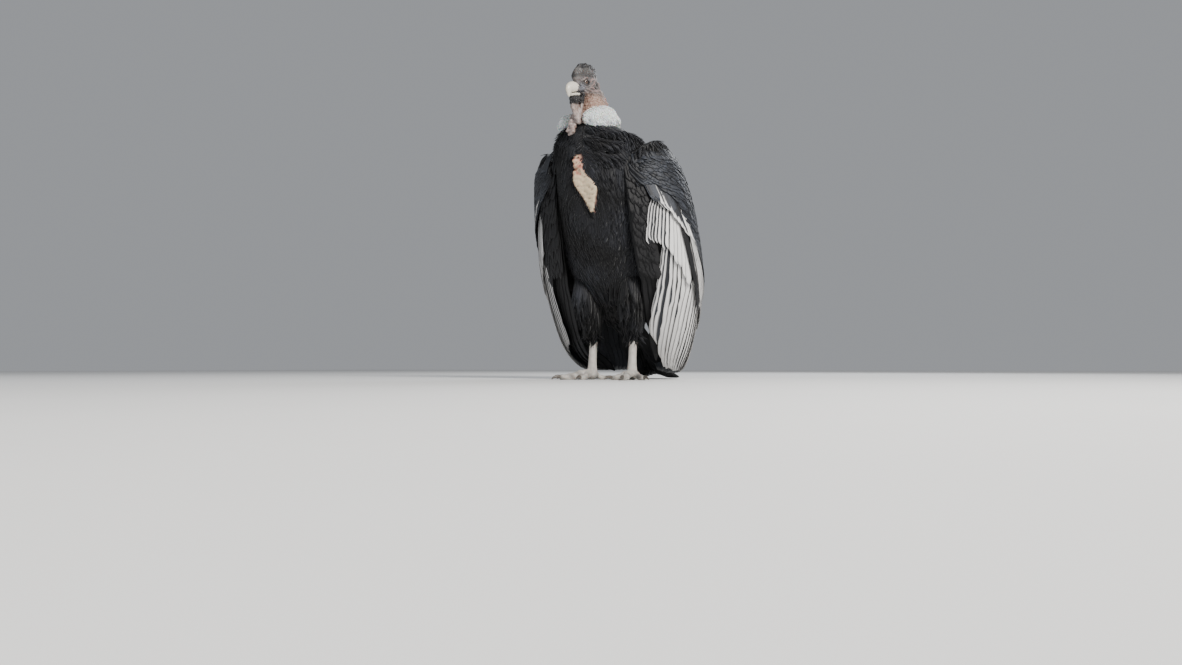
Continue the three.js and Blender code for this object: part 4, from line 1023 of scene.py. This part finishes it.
# Each vane is a thin closed plate with a raised shaft. across runs from -1 at its front edge to 1 at its back edge
def vaneMesh(name, tracts, material):
    allPoints, quads, ends, corners = [], [], [], []
    marks = {"pale": [], "tone": [], "barb": [], "along": []}
    base = 0
    for tract in tracts:
        centre, out, half, side = tract["centre"], tract["out"], tract["half"], tract["side"]
        columns, tilt, camber, thick, ragged, splits, shaft = vaneKinds[tract["kind"]]
        n, m = centre.shape[:2]
        ahead = unit(np.gradient(centre, axis=1))
        back = unit(np.cross(ahead, out)) * -side
        up = unit(np.cross(back, ahead)) * side
        up = np.where((up * out).sum(-1, keepdims=True) < 0, -up, up)
        across, along = np.linspace(-1, 1, columns), np.linspace(0, 1, m)[None, :]
        draw = np.random.default_rng(tract["seed"])
        # each side of the vane has its own splits
        reach = np.ones((n, m, 2))
        for k in (0, 1):
            for _ in range(splits):
                at, depth = draw.uniform(0.3, 0.98, (n, 1)), draw.uniform(0.0, ragged, (n, 1))
                reach[..., k] -= depth * np.maximum(0, 1 - np.abs(along - at) / 0.05)
        reach = np.clip(reach, 0.25, 1)
        wide = half[..., None] * across * np.where(across < 0, reach[..., :1], reach[..., 1:])
        ridge = shaft * bell(across, 0.12) * np.linspace(1, 0.15, m)[:, None]
        rise = np.broadcast_to(-across * tilt + camber * (1 - across ** 2) + ridge, (n, m, columns))
        rise = rise * np.minimum(1, half[..., None] / np.maximum(half.max(1)[:, None, None], 1e-6) + 0.25)
        top = centre[:, :, None] + back[:, :, None] * wide[..., None] + up[:, :, None] * rise[..., None]
        inner = slice(1, columns - 1)
        under = (top - up[:, :, None] * thick)[:, :, inner][:, :, ::-1]
        ring = np.concatenate([top, under], 2)
        r = ring.shape[2]
        allPoints.append(ring.reshape(-1, 3))
        order = np.arange(r)
        first = base + np.arange(n)[:, None] * m * r + order
        i = first[:, None] + np.arange(m - 1)[None, :, None] * r
        j = i + np.roll(order, -1) - order
        face = np.stack([i, j, j + r, i + r] if side > 0 else [i, i + r, j + r, j], -1)
        quads.append(face.reshape(-1, 4))
        last = first + (m - 1) * r
        ends.append(np.concatenate([first[:, ::-1], last] if side > 0 else [first, last[:, ::-1]]))
        u = np.broadcast_to(np.concatenate([across, across[inner][::-1]]), (n, m, r))
        t = np.broadcast_to(along[..., None], (n, m, r))
        tone = np.broadcast_to(draw.uniform(0, 1, (n, 1, 1)), (n, m, r))
        pale = 0 * u
        if tract["kind"] in whiteEdges:
            soft, tipDark, baseDark = whiteEdges[tract["kind"]]
            edge = tract["edge"][..., None]
            web = fall(u, edge - soft, edge + soft) * (edge > -0.995)
            fade = (1 - tipDark * smooth(t, 0.72, 1.0)) * (1 - baseDark * fall(t, 0.05, 0.3))
            pale = held(web * fade * (0.85 + 0.15 * tone)) * (1 - 0.55 * (order >= columns))
        length = np.linalg.norm(np.diff(centre, axis=1), axis=-1).sum(1)[:, None, None]
        barb = t * length + np.abs(u) * half[..., None] * 0.9
        for key, values in (("pale", pale), ("tone", tone), ("barb", barb), ("along", t)):
            marks[key].append(values.ravel())
        root = np.broadcast_to(tract["root"][:, None, None, :], (n, m, r, 2))
        spot = np.stack([0.0015 * np.abs(u) + (u > 0.02) * 0.0034, 0.003 * t], -1)
        corners.append((root + spot).reshape(-1, 2))
        base += n * m * r
    mesh = rawMesh(name, np.concatenate(allPoints), [np.concatenate(quads)] + ends)
    for key, values in marks.items():
        addMark(mesh, key, np.concatenate(values))
    addSpots(mesh, "OFBake", np.concatenate(corners))
    return showMesh(mesh, material)


# How wide a feather is along its length: full, rounded off from a place on
def vaneOutline(t, base, slope, place, end, power):
    return np.minimum(1, base + slope * t) * np.sqrt(np.maximum(0.004, 1 - np.maximum(0, (t - place) / end) ** power))


# A row of feathers on the shell: angles and heights of roots and tips. white is how much of the part of each feather
# that shows is white; a feather lies over the one in front of it
def wingRow(kind, side, rootAngle, tipAngle, high, low, width, lifts, seed, stations, bend=1.0, white=0.0, blunt=0.82):
    rootAngle, tipAngle, high, low, white = (np.atleast_1d(np.asarray(v, float))
                                             for v in (rootAngle, tipAngle, high, low, white))
    n = max(len(rootAngle), len(high))
    t = np.linspace(0, 1, stations)[None, :]
    angle = rootAngle[:, None] + (tipAngle - rootAngle)[:, None] * t ** bend
    height = high[:, None] + (low - high)[:, None] * t
    centre, out = cloak(side, angle, height, np.broadcast_to(mix(*lifts, t), angle.shape))
    shape = vaneOutline(t, 0.45, 2.6, blunt, 1.002 - blunt, 2.2)
    half = np.broadcast_to(np.atleast_1d(width)[:, None] / 2 * shape, (n, stations))
    step = np.linalg.norm(np.diff(centre, axis=0), axis=-1)
    step = np.concatenate([step, step[-1:]]) if n > 1 else half
    edge = -1 + np.minimum(step / np.maximum(half, 1), 2) * white[:, None]
    root = np.stack(np.broadcast_arrays(0.05 + 0.4 * rootAngle / 180 + 0.5 * (side < 0), 0.05 + 0.85 * high / 800), -1)
    return {"kind": kind, "centre": centre, "out": out, "half": half, "side": side, "root": root, "seed": seed,
            "edge": edge}


def wingTracts(side):
    draw = np.random.default_rng(100 + side)
    w, own, left = wingFeathers, wingFeathers[side], side > 0
    back = wingLines["back"]
    # secondaries and the inner ones: streaks at the front that grow together to a broad white field
    share = np.linspace(0, 1, w["secondaries"])
    root = mix(own["start"], back - 3, share ** own["bunch"])
    tip = root - own["sweep"] * fall(share, 0.0, 0.7) - 4 * share + draw.uniform(-0.5, 0.5, len(share))
    if left:
        tip = tip + 2.4 * smooth(share, 0.09, 0.13) * fall(share, 0.13, 0.5)
    low = graded([[36, 150], [44, 112], [50, 60], [58, 32], [90, 26], [180, 24]], tip, 0)
    low = low + draw.uniform(-5, 5, len(share))
    if not left:
        low = np.maximum(low, mix(112, 30, smooth(share, 0, 0.35)))
    white = mix(*own["white"], smooth(share, 0.04, 0.26)) * draw.uniform(0.8, 1.08, len(share))
    if left:
        white[2] *= 0.6
    tracts = [wingRow("secondary", side, root, tip, np.minimum(medianAt(root) + 10, 455 if left else 505), low,
                      mix(46, 56, share), (-2, -3), 11, 22, 1.0, white)]
    # greater coverts: white streaks with dark gaps
    front = own["covertStart"] + (np.arange(12) * 2.2 if left else np.arange(6) * 3.0)
    root = np.concatenate([front, np.linspace(84, back - 3, 17)])
    ahead = own["covertSweep"] * fall(root, 60, 96)
    line = medianAt(root)
    reached = graded([[40, 404], [52, 402], [58.5, 383], [62, 366], [70, 318], [78, 256], [90, 230]], root - ahead, 0)
    tip = np.where(root < 82, reached, line - mix(140, 96, (root - 84) / 80))
    tip = (tip if left else np.minimum(tip, line - 140)) + draw.uniform(-8, 8, len(root))
    white = np.where(root < 68, 0.45, 0.85) * draw.uniform(0.8, 1.15, len(root))
    tracts.append(wingRow("greaterCovert", side, root, root - ahead, np.minimum(line + 24, 528), tip,
                          mix(24, 44, smooth(root, 60, 110)), (2, 7), 13, 16, 1.0, white))
    if left:
        # a white band that runs down to the back behind the one dark feather
        share = np.linspace(0, 1, w["bandFeathers"])
        tracts.append(wingRow("band", side, mix(80, 82.5, share), mix(91, 106, share), mix(540, 520, share),
                              mix(232, 262, share), 22, (9, 11), 16, 18, 2.0, 0.92))
    # long dark shoulder feathers over the back of the wing
    share = np.linspace(0, 1, w["shoulderCount"])
    start = 85 if left else 92
    low = mix(292, 262, smooth(share, 0, 0.2)) + draw.uniform(-8, 8, len(share))
    tracts.append(wingRow("shoulder", side, mix(start, back - 4, share), mix(start + 20, back - 2, share),
                          mix(590, 560, share), low, mix(30, 46, share), (13, 8), 18, 18, 1.8, blunt=0.7))
    # median coverts with pale front edges
    share = np.linspace(0, 1, w["medianCoverts"])
    root = mix(44, back - 4, share ** 1.5)
    sweep = mix(12, 1, np.sqrt(share))
    white = 0.5 * smooth(root, 52, 55) * fall(root, 76, 86) * draw.uniform(0.7, 1.2, len(share)) * (1 if left else 0.5)
    line = medianAt(root + sweep) + (0 if left else 36)
    tracts.append(wingRow("medianCovert", side, root, root + sweep, line + 125,
                          line + draw.uniform(-12, 4, len(share)) - 6, mix(18, 50, share), (6, 13), 17, 10, 1.0, white))
    # lesser coverts, row over row up to the shoulder; on the left they leave room for the white edges
    for row in range(w["lesserRows"]):
        count = w["lesserCount"]
        share = (np.arange(count) + (row % 2) / 2 + 0.2 * draw.uniform(-1, 1, count)) / count
        angle, sweep = mix(39, back - 3, share), mix(11, 2, share)
        depth = topAt(angle) - medianAt(angle) - 40
        clear = 84 * bell(angle + sweep - 68, 12) * max(0.0, 1 - row / 4) * left
        tip = medianAt(angle + sweep) + 18 + clear + depth * row / w["lesserRows"] + draw.uniform(-7, 7, count)
        high = topAt(angle) - 26 * smooth(angle, 90, 150)
        root = np.minimum(tip + mix(50, 66, share), high)
        sunk = 6 - 34 * smooth(root, high - 45, high)
        tracts.append(wingRow("lesserCovert", side, angle, angle + sweep, root, np.minimum(tip, root - 22),
                              mix(18, 29, share), (sunk[:, None], 13 + row * 0.2), 30 + row, 10, blunt=0.6))
    return tracts


def handTracts(side):
    draw = np.random.default_rng(200 + side)
    w, wide = wingFeathers, wingFeathers[side]["hand"]
    # primaries run down the front edge and sweep back under the secondaries
    count = w["primaries"]
    share = np.linspace(0, 1, count)
    t = np.linspace(0, 1, 22)[None, :]
    high, low = mix(560, 450, share)[:, None], (mix(40, 24, share) + draw.uniform(-5, 5, count))[:, None]
    height = mix(high, low, t)
    swept = held((520 - height) / 470) ** 1.6
    angle = mix(mix(37, wide - 3, share)[:, None], mix(wide - 6, 140, share)[:, None], swept)
    centre, out = cloak(side, angle, height, mix(-9, -20, t) + 0 * angle)
    root = np.stack([0.05 + 0.4 * angle[:, 0] / 180 + 0.5 * (side < 0), 0.93 + 0.004 * np.arange(count)], -1)
    tracts = [{"kind": "primary", "centre": centre, "out": out, "side": side, "root": root, "seed": 51,
               "half": 19 * vaneOutline(t, 0.5, 2, 0.75, 0.252, 2) + 0 * angle}]
    if side > 0:
        # one dark feather across the white of the wing
        tracts.append(wingRow("dark", side, [73.5], [86], [528], [212], 19, (10.5, 10.5), 15, 20, 2.2))
    # the small feathers of the hand, row over row
    for row in range(w["handRows"]):
        count = w["primaryCoverts"]
        share, up = (np.arange(count) + (row % 2) / 2) / count, row / (w["handRows"] - 1)
        root = mix(440, 662, up) + mix(0, -14, share) + draw.uniform(-13, 13, count)
        tracts.append(wingRow("hand", side, mix(35, wide, share), mix(36, wide + 2, share), root,
                              root - mix(118, 74, up) + draw.uniform(-8, 8, count), mix(22, 18, up),
                              (mix(-3, 2, up), mix(2, 8, up)), 60 + row, 10))
    return tracts


def tailTracts():
    tracts = []
    root, bend, tip = (np.array(p, float) for p in tailForm["line"])
    for side in (1, -1):
        pair, s = np.arange(tailForm["pairs"]), np.linspace(0, 1, 22)[None, :]
        t = s * (1 - 0.014 * pair)[:, None]
        middle = root * ((1 - t) ** 2)[..., None] + bend * (2 * t * (1 - t))[..., None] + tip * (t ** 2)[..., None]
        ahead = unit((bend - root) * (2 * (1 - t))[..., None] + (tip - bend) * (2 * t)[..., None])
        out = np.stack([0 * t, -ahead[..., 2], ahead[..., 1]], -1)
        fan = np.radians(side * (pair + 0.5) * (tailForm["spread"] / tailForm["pairs"]))[:, None]
        centre = middle - out * ((2 * pair + (side > 0))[:, None] * tailForm["apart"])[..., None]
        centre[..., 0] = side * (3 + pair[:, None] * 4) + np.sin(fan) * t * tailForm["length"]
        half = tailForm["width"] / 2 * vaneOutline(s, 0.5, 2.4, 0.86, 0.142, 2.4) + 0 * t
        tracts.append({"kind": "tail", "centre": centre, "out": out, "half": half, "side": 1, "seed": 70 + side,
                       "root": np.stack([0.5 + side * (0.02 + 0.01 * pair), 0.97 + 0 * pair], -1)})
    return tracts


# the wing feathers' lighter shade is a painted sky reflection on the black
wingLook = featherMaterial("silverAndBlackVanes", featherLooks["slateAndSkySheen"], 0.5, 0.05)
handLook = featherMaterial("blackVanes", featherLooks["hand"], 0.6, 0.03)
for label, side in (("left", 1), ("right", -1)):
    ridePiece(vaneMesh(f"wingFeathers_{label}", wingTracts(side), wingLook), "silver_plumage",
              *[f"wing_{label}_{part}" for part in ("forearm", "shoulder", "secondaries", "tertials")])
    ridePiece(vaneMesh(f"handFeathers_{label}", handTracts(side), handLook), "plumage", f"wing_{label}_primaries")
ridePiece(vaneMesh("tailFeathers", tailTracts(), handLook), "plumage", "tail")
print("wings and tail")


# One short feather or tuft, 1 long and 1 wide, for the coat to repeat
def featherPattern(name, rows, outline, curl, thick):
    t = np.linspace(0, 1, rows)[:, None]
    u = np.linspace(-1, 1, 3)[None, :]
    top = np.stack([u * outline(t) * 0.5, t + 0 * u, curl * t ** 2 + 0.16 * outline(t) * (1 - u ** 2)], -1)
    ring = np.concatenate([top, (top - [0, 0, thick])[:, 1:-1][:, ::-1]], 1)
    r = ring.shape[1]
    i = (np.arange(rows - 1)[:, None] * r + np.arange(r)).ravel()
    j = (np.arange(rows - 1)[:, None] * r + np.roll(np.arange(r), -1)).ravel()
    faces = [np.stack([i, i + r, j + r, j], -1), np.arange(r)[None, :], ((rows - 1) * r + np.arange(r))[None, ::-1]]
    mesh = rawMesh(name, ring * 1000 - shift, faces)
    addMark(mesh, "along", ring[..., 1])
    addSpots(mesh, "spot", np.stack([ring[..., 0] + 0.5, ring[..., 1]], -1).reshape(-1, 2))
    return showMesh(mesh)


coatSizes = {"Spacing": 0.012, "Length": 0.05, "Width": 0.02, "Variation": 0.25, "Lift": 0.15, "Scatter": 0.2}
bakePatch = 0.003  # how much of the UV map one tuft takes


# Tufts strewn over a mesh, each laid along its mark "lie"
def coatTree():
    tree = bpy.data.node_groups.new("coat", "GeometryNodeTree")
    sizes = ((key, "Float", value) for key, value in coatSizes.items())
    for name, kind, default in (("Geometry", "Geometry", None), *sizes, ("Seed", "Int", None),
                                ("Pattern", "Object", None), ("Finish", "Material", None)):
        socket = tree.interface.new_socket(name, in_out="INPUT", socket_type="NodeSocket" + kind)
        if default:
            socket.default_value = default
    tree.interface.new_socket("Geometry", in_out="OUTPUT", socket_type="NodeSocketGeometry")
    n = Nodes(tree)
    given = n.add("NodeGroupInput").outputs

    def read(name, kind="FLOAT_VECTOR"):
        return n.flow("GeometryNodeInputNamedAttribute", {"Name": name}, "Attribute", data_type=kind)

    def store(geometry, name, value, kind, domain):
        inputs = {"Geometry": geometry, "Name": name, "Value": value}
        return n.flow("GeometryNodeStoreNamedAttribute", inputs, data_type=kind, domain=domain)

    def vector(operation, a, b=None, scale=None):
        inputs = {0: a, **({} if b is None else {1: b}), **({} if scale is None else {"Scale": scale})}
        return n.flow("ShaderNodeVectorMath", inputs, operation=operation)

    scatter = n.add("GeometryNodeDistributePointsOnFaces", {
        "Mesh": given["Geometry"], "Distance Min": given["Spacing"], "Density Max": 400000.0,
        "Density Factor": read("cover", "FLOAT"), "Seed": given["Seed"]}, distribute_method="POISSON")
    normal = scatter.outputs["Normal"]
    turnOff = n.flow("FunctionNodeRandomValue", {"Min": (-1, -1, -1), "Max": (1, 1, 1), "Seed": given["Seed"]},
                     "Value", data_type="FLOAT_VECTOR")
    way = vector("ADD", read("lie"), vector("SCALE", turnOff, scale=given["Scatter"]))
    tangent = vector("NORMALIZE", vector("CROSS_PRODUCT", vector("CROSS_PRODUCT", normal, way), normal))
    raised = vector("ADD", tangent, vector("SCALE", normal, scale=given["Lift"]))
    turn = n.flow("FunctionNodeAxesToRotation", {"Primary Axis": raised, "Secondary Axis": normal}, "Rotation",
                  primary_axis="Y", secondary_axis="Z")
    random = n.flow("FunctionNodeRandomValue", {
        "Min": n.math("SUBTRACT", 1.0, given["Variation"]), "Max": n.math("ADD", 1.0, given["Variation"]),
        "Seed": n.math("ADD", given["Seed"], 3)}, 1, data_type="FLOAT")
    size = random * read("size", "FLOAT")
    scale = n.flow("ShaderNodeCombineXYZ", {axis: size * given[key] for axis, key in
                                            zip("XYZ", ("Width", "Length", "Width"))})
    rooted = store(scatter.outputs["Points"], "rootSpot", read("unwrap"), "FLOAT_VECTOR", "POINT")
    pattern = n.flow("GeometryNodeObjectInfo", {"Object": given["Pattern"]}, "Geometry")
    placed = n.flow("GeometryNodeInstanceOnPoints",
                    {"Points": rooted, "Instance": pattern, "Rotation": turn, "Scale": scale})
    tone = n.flow("FunctionNodeRandomValue", {"Seed": n.math("ADD", given["Seed"], 5)}, 1, data_type="FLOAT")
    real = n.flow("GeometryNodeRealizeInstances", {"Geometry": store(placed, "tone", tone, "FLOAT", "INSTANCE")})
    bakeSpot = vector("ADD", read("rootSpot"), vector("SCALE", read("spot"), scale=bakePatch))
    baked = store(real, "OFBake", bakeSpot, "FLOAT2", "CORNER")
    finished = n.flow("GeometryNodeSetMaterial", {"Geometry": baked, "Material": given["Finish"]})
    n.add("NodeGroupOutput", {0: finished})
    return tree


coat = coatTree()
coatInputs = {item.name: item.identifier for item in coat.interface.items_tree if item.in_out == "INPUT"}


def grow(name, source, marks, unwrap, pattern, look, **sizes):
    mesh = source.copy()
    for key, values in marks.items():
        addMark(mesh, key, values, "FLOAT_VECTOR" if key == "lie" else "FLOAT")
    addMark(mesh, "unwrap", np.pad(unwrap, ((0, 0), (0, 1))), "FLOAT_VECTOR")
    piece = newObject(name, mesh)
    nodes = piece.modifiers.new("Coat", "NODES")
    nodes.node_group = coat
    for key, value in {**sizes, "Pattern": pattern, "Finish": look}.items():
        nodes[coatInputs[key]] = value
    grown = settled(piece, name)
    for extra in ("rootSpot", "unwrap", *marks):
        if extra in grown.attributes:
            grown.attributes.remove(grown.attributes[extra])
    if "spot" in grown.uv_layers:
        grown.uv_layers.remove(grown.uv_layers["spot"])
    return newObject(name, grown)


bodyPattern = featherPattern("bodyFeatherPattern", 5, lambda t: np.minimum(1, 0.6 + 2.4 * t)
                             * np.maximum(0.06, 1 - np.maximum(0, (t - 0.4) / 0.61) ** 1.8), 0.02, 0.05)
tuftPattern = featherPattern("downPattern", 4, lambda t: np.minimum(1, 0.6 + 3 * t) * np.maximum(0.2, 1 - t ** 3),
                             0.10, 0.12)
# Where the black feathers end below the collar: angle round the body, height
collarEdge = [[-3.2, 776], [0.08, 774], [0.25, 766], [0.47, 750], [0.66, 738], [0.89, 733], [1.15, 731], [1.41, 732],
              [1.8, 745], [2.3, 765], [3.2, 776]]
# Body feathers: spacing, length and width in metres, seed
bodyCoats = {"breastFeathers": (0.0046, 0.034, 0.0105, 4), "bellyFeathers": (0.0058, 0.034, 0.0105, 14),
             "backFeathers": (0.0062, 0.034, 0.0105, 5), "armFeathers": (0.0078, 0.034, 0.0105, 15),
             "trouserFeathers": (0.0058, 0.056, 0.013, 6)}
bodyLie = {"Variation": 0.3, "Lift": 0.07, "Scatter": 0.22}
downCoat = {"Spacing": 0.0020, "Length": 0.009, "Width": 0.0042, "Variation": 0.25, "Lift": 0.10, "Scatter": 0.3}


# The way round the body and up it, as places on a UV map
def wrapped(turned, up):
    return np.stack([0.02 + 0.95 * (turned + math.pi) / (2 * math.pi), up], -1)


points, normals = shapeOf(bodySource)
height, turned = points[:, 2], bodyTurned
middle = graded(bodyForm["rows"], height, 2)
aside, axis = np.abs(turned), np.stack([0 * middle, middle], -1)
front = points[:, 1] < middle
# the feathers hang down; on the breast they part and the loose ones of the left sweep aside
sideways = unit(np.stack([np.cos(turned), np.sin(turned), 0 * turned], -1)) * np.sign(turned)[:, None]
part = bell(aside, 0.5) * smooth(height, 470, 560)
shawl = smooth(turned, -0.12, 0.05) * fall(turned, 0.85, 1.1) * smooth(height, 630, 660) * fall(height, 765, 775)
lie = [0, 0, -1.0] + sideways * (0.55 * part + 0.9 * shawl)[:, None]
lie[:, 1] += 0.35 * smooth(aside, 1.2, 2.4)
# what a place belongs to
fromAxis = np.linalg.norm(points[:, :2] - axis, axis=1)
torsoReach = np.linalg.norm(torsoPoint(turned, height)[:, :2] - axis, axis=1)
isTorso = (fromAxis < torsoReach + 14) & (height > 140)
isLeg = (np.minimum(*[nearLine(points, thighLine(side))[0] for side in (1, -1)]) < 84) & (height < 330)
isArm = ~isTorso & ~isLeg & (height > 250) & ((normals[:, 2] > 0.15) | (aside > 2.78))
onBody = ~isLeg & ~isArm
where = {"breastFeathers": front & onBody & (height > 560), "bellyFeathers": front & onBody & (height <= 560),
         "backFeathers": ~front & onBody, "armFeathers": isArm, "trouserFeathers": isLeg}
edge = graded(collarEdge, turned, 0)
bare = nearLine(points, curveThrough(throatFolds["breast"][0], np.linspace(0, 1, 12)))[0] < 15
cover = ((isTorso & ~bare) | isLeg | isArm) * (1 - cropShare(points, turned, middle, 1)) * (height > 152)
cover = cover * (1 - smooth(height, edge - 4, edge + 4))
size = mix(0.85, 1.25, fall(height, 520, 740)) * mix(1, 0.85, isLeg * fall(height, 150, 260))
size = size * mix(1, 0.5, cropShare(points, turned, middle, 16)) * mix(1, 0.85, shawl) * mix(1, 0.7, isArm)
plumageLook = plumageMaterial()
for name, (spacing, length, width, seed) in bodyCoats.items():
    ridePiece(grow(name, bodySource, {"cover": cover * where[name], "lie": lie, "size": size},
                   wrapped(turned, 0.02 + 0.9 * height / 800), bodyPattern, plumageLook, Spacing=spacing,
                   Length=length, Width=width, **bodyLie, Seed=seed), "plumage")


# A place on the collar's ring: lift is how far out of it, rise how far up
def ruffSpot(angle, lift, rise):
    turn = np.array(Matrix.Rotation(math.radians(ruffForm["lean"]), 3, "X"))
    flat = np.stack([np.sin(angle) * (ruffForm["wide"] + lift), -np.cos(angle) * (ruffForm["deep"] + lift),
                     rise + 0 * angle], -1)
    return flat @ turn.T + ruffForm["centre"]


def ruffCore():
    half = math.pi - math.radians(ruffForm["opening"])

    def place(t):
        angle = math.pi + math.radians(ruffForm["turn"]) + mix(-half, half, t)
        front, breast, flank = (bell(angle - math.radians(at), math.radians(wide))
                                for at, wide in (ruffForm[key] for key in ("front", "breast", "flank")))
        behind = smooth(angle, *np.radians([85, 150])) * fall(angle, *np.radians([215, 290]))
        size = ruffForm["tube"] * mix(0.9, 1.08, np.sin(math.pi * t)) * (1 - 0.15 * front + 0.26 * breast)
        middle = ruffSpot(angle, 0 * t, 0 * t)
        centre = ruffSpot(angle, 3 * breast - 6 * flank, 8 * front + 4 * breast - 13 * flank - 15 * behind)
        return centre, ruffSpot(angle, size, 0 * t) - middle, ruffSpot(angle, 0 * t, size * 0.95) - middle

    return loftForm(40, 90, place, 0.08)


ruffMesh = rawMesh("ruffCore", *ruffCore())
points, normals = shapeOf(ruffMesh)
points = points + normals * (1.2 * ripple(points, 38, 61))[:, None]
setPoints(ruffMesh, points)
centre = ruffForm["centre"]
angle = np.arctan2(points[:, 0] - centre[0], -(points[:, 1] - centre[1]))
outward = unit(np.stack([np.sin(angle), -np.cos(angle), 0 * angle], -1))
# the tufts hang down and a little aside, on top of the collar they point out
swerve = unit(ripple(points, 30, 62)[:, None] * outward[:, [1, 0, 2]] * [1, -1, 0] + 1e-6) * 0.25
lie = np.where((normals[:, 2] > 0.2)[:, None], outward + [0, 0, -0.25], outward * 0.5 + [0, 0, -1.0] + swerve)
unwrap = wrapped(angle, 0.5 + 0.45 * normals[:, 2])
downLook = downMaterial()
for name, share, seed, nodes in (("ruffDown_left", points[:, 0] > centre[0], 7, ["ruff"]),
                                 ("ruffDown_right", points[:, 0] <= centre[0], 8, [])):
    marks = {"cover": share, "lie": lie, "size": np.ones(len(points))}
    ridePiece(grow(name, ruffMesh, marks, unwrap, tuftPattern, downLook, **downCoat, Seed=seed), "down", *nodes)
for key, value in (("tone", 0.5), ("along", 0.6)):
    addMark(ruffMesh, key, np.full(len(points), value))
addSpots(ruffMesh, "OFBake", unwrap)
ridePiece(showMesh(ruffMesh, downLook), "down")
for pattern in (bodyPattern, tuftPattern):
    bpy.data.objects.remove(pattern)
print("plumage and down")

# Floor, light and camera
stage = {"floor": 14.0, "colour": (0.78, 0.78, 0.77), "patches": (0.74, 0.74, 0.735), "air": (0.86, 0.89, 0.94, 1),
         "airStrength": 0.38}
lampList = [
    # name, place, aim, size, watts, colour
    ("keyLight", (2.9, -2.0, 2.5), (0, 0, 0.5), 1.0, 255, (1.0, 0.97, 0.925)),
    ("fillLight", (-2.6, -2.4, 1.3), (0, 0, 0.5), 2.4, 20, (0.9, 0.95, 1.0)),
    ("backLight", (0.4, 2.8, 2.2), (0, 0, 0.6), 2.0, 55, (0.95, 0.97, 1.0)),
]
# focal, frame and feet are in the photo's pixels: focal length, width, and where the feet are across it
cameraSet = {"azimuth": 25.0, "distance": 2.65, "height": 0.04, "pitch": 2.3, "focal": 853.0, "frame": 1182,
             "feet": 612.0, "sensor": 36}

material, n = newMaterial("paleFloor")
n.finish(n.blend(n.noise(3, 3), stage["colour"], stage["patches"]), 0.8)
half = stage["floor"] / 2
mesh = bpy.data.meshes.new("floor")
mesh.from_pydata([(-half, -half, 0), (half, -half, 0), (half, half, 0), (-half, half, 0)], [], [(0, 1, 2, 3)])
showMesh(mesh, material, False)

world = bpy.data.worlds.new("studio")
bpy.context.scene.world = world
world.use_nodes = True
air = world.node_tree.nodes["Background"].inputs
air["Color"].default_value, air["Strength"].default_value = stage["air"], stage["airStrength"]
for name, place, aim, size, watts, colour in lampList:
    lamp = bpy.data.lights.new(name, "AREA")
    lamp.size, lamp.energy, lamp.color = size, watts, colour
    light = newObject(name, lamp)
    light.location = place
    light.rotation_euler = (Vector(place) - Vector(aim)).to_track_quat("Z", "Y").to_euler()

lens = bpy.data.cameras.new("photoCamera")
lens.sensor_width = cameraSet["sensor"]
lens.lens = cameraSet["focal"] * cameraSet["sensor"] / cameraSet["frame"]
lens.dof.use_dof = False
camera = newObject("photoCamera", lens)
a, away, feet = math.radians(cameraSet["azimuth"]), cameraSet["distance"], toRow([0, 0, 0])
camera.location = (feet[0] + math.sin(a) * away, feet[1] - math.cos(a) * away, cameraSet["height"])
yaw = a + math.atan((cameraSet["feet"] - cameraSet["frame"] / 2) / cameraSet["focal"])
camera.rotation_euler = Euler((math.radians(90 + cameraSet["pitch"]), 0, yaw), "XYZ")
bpy.context.scene.camera = camera
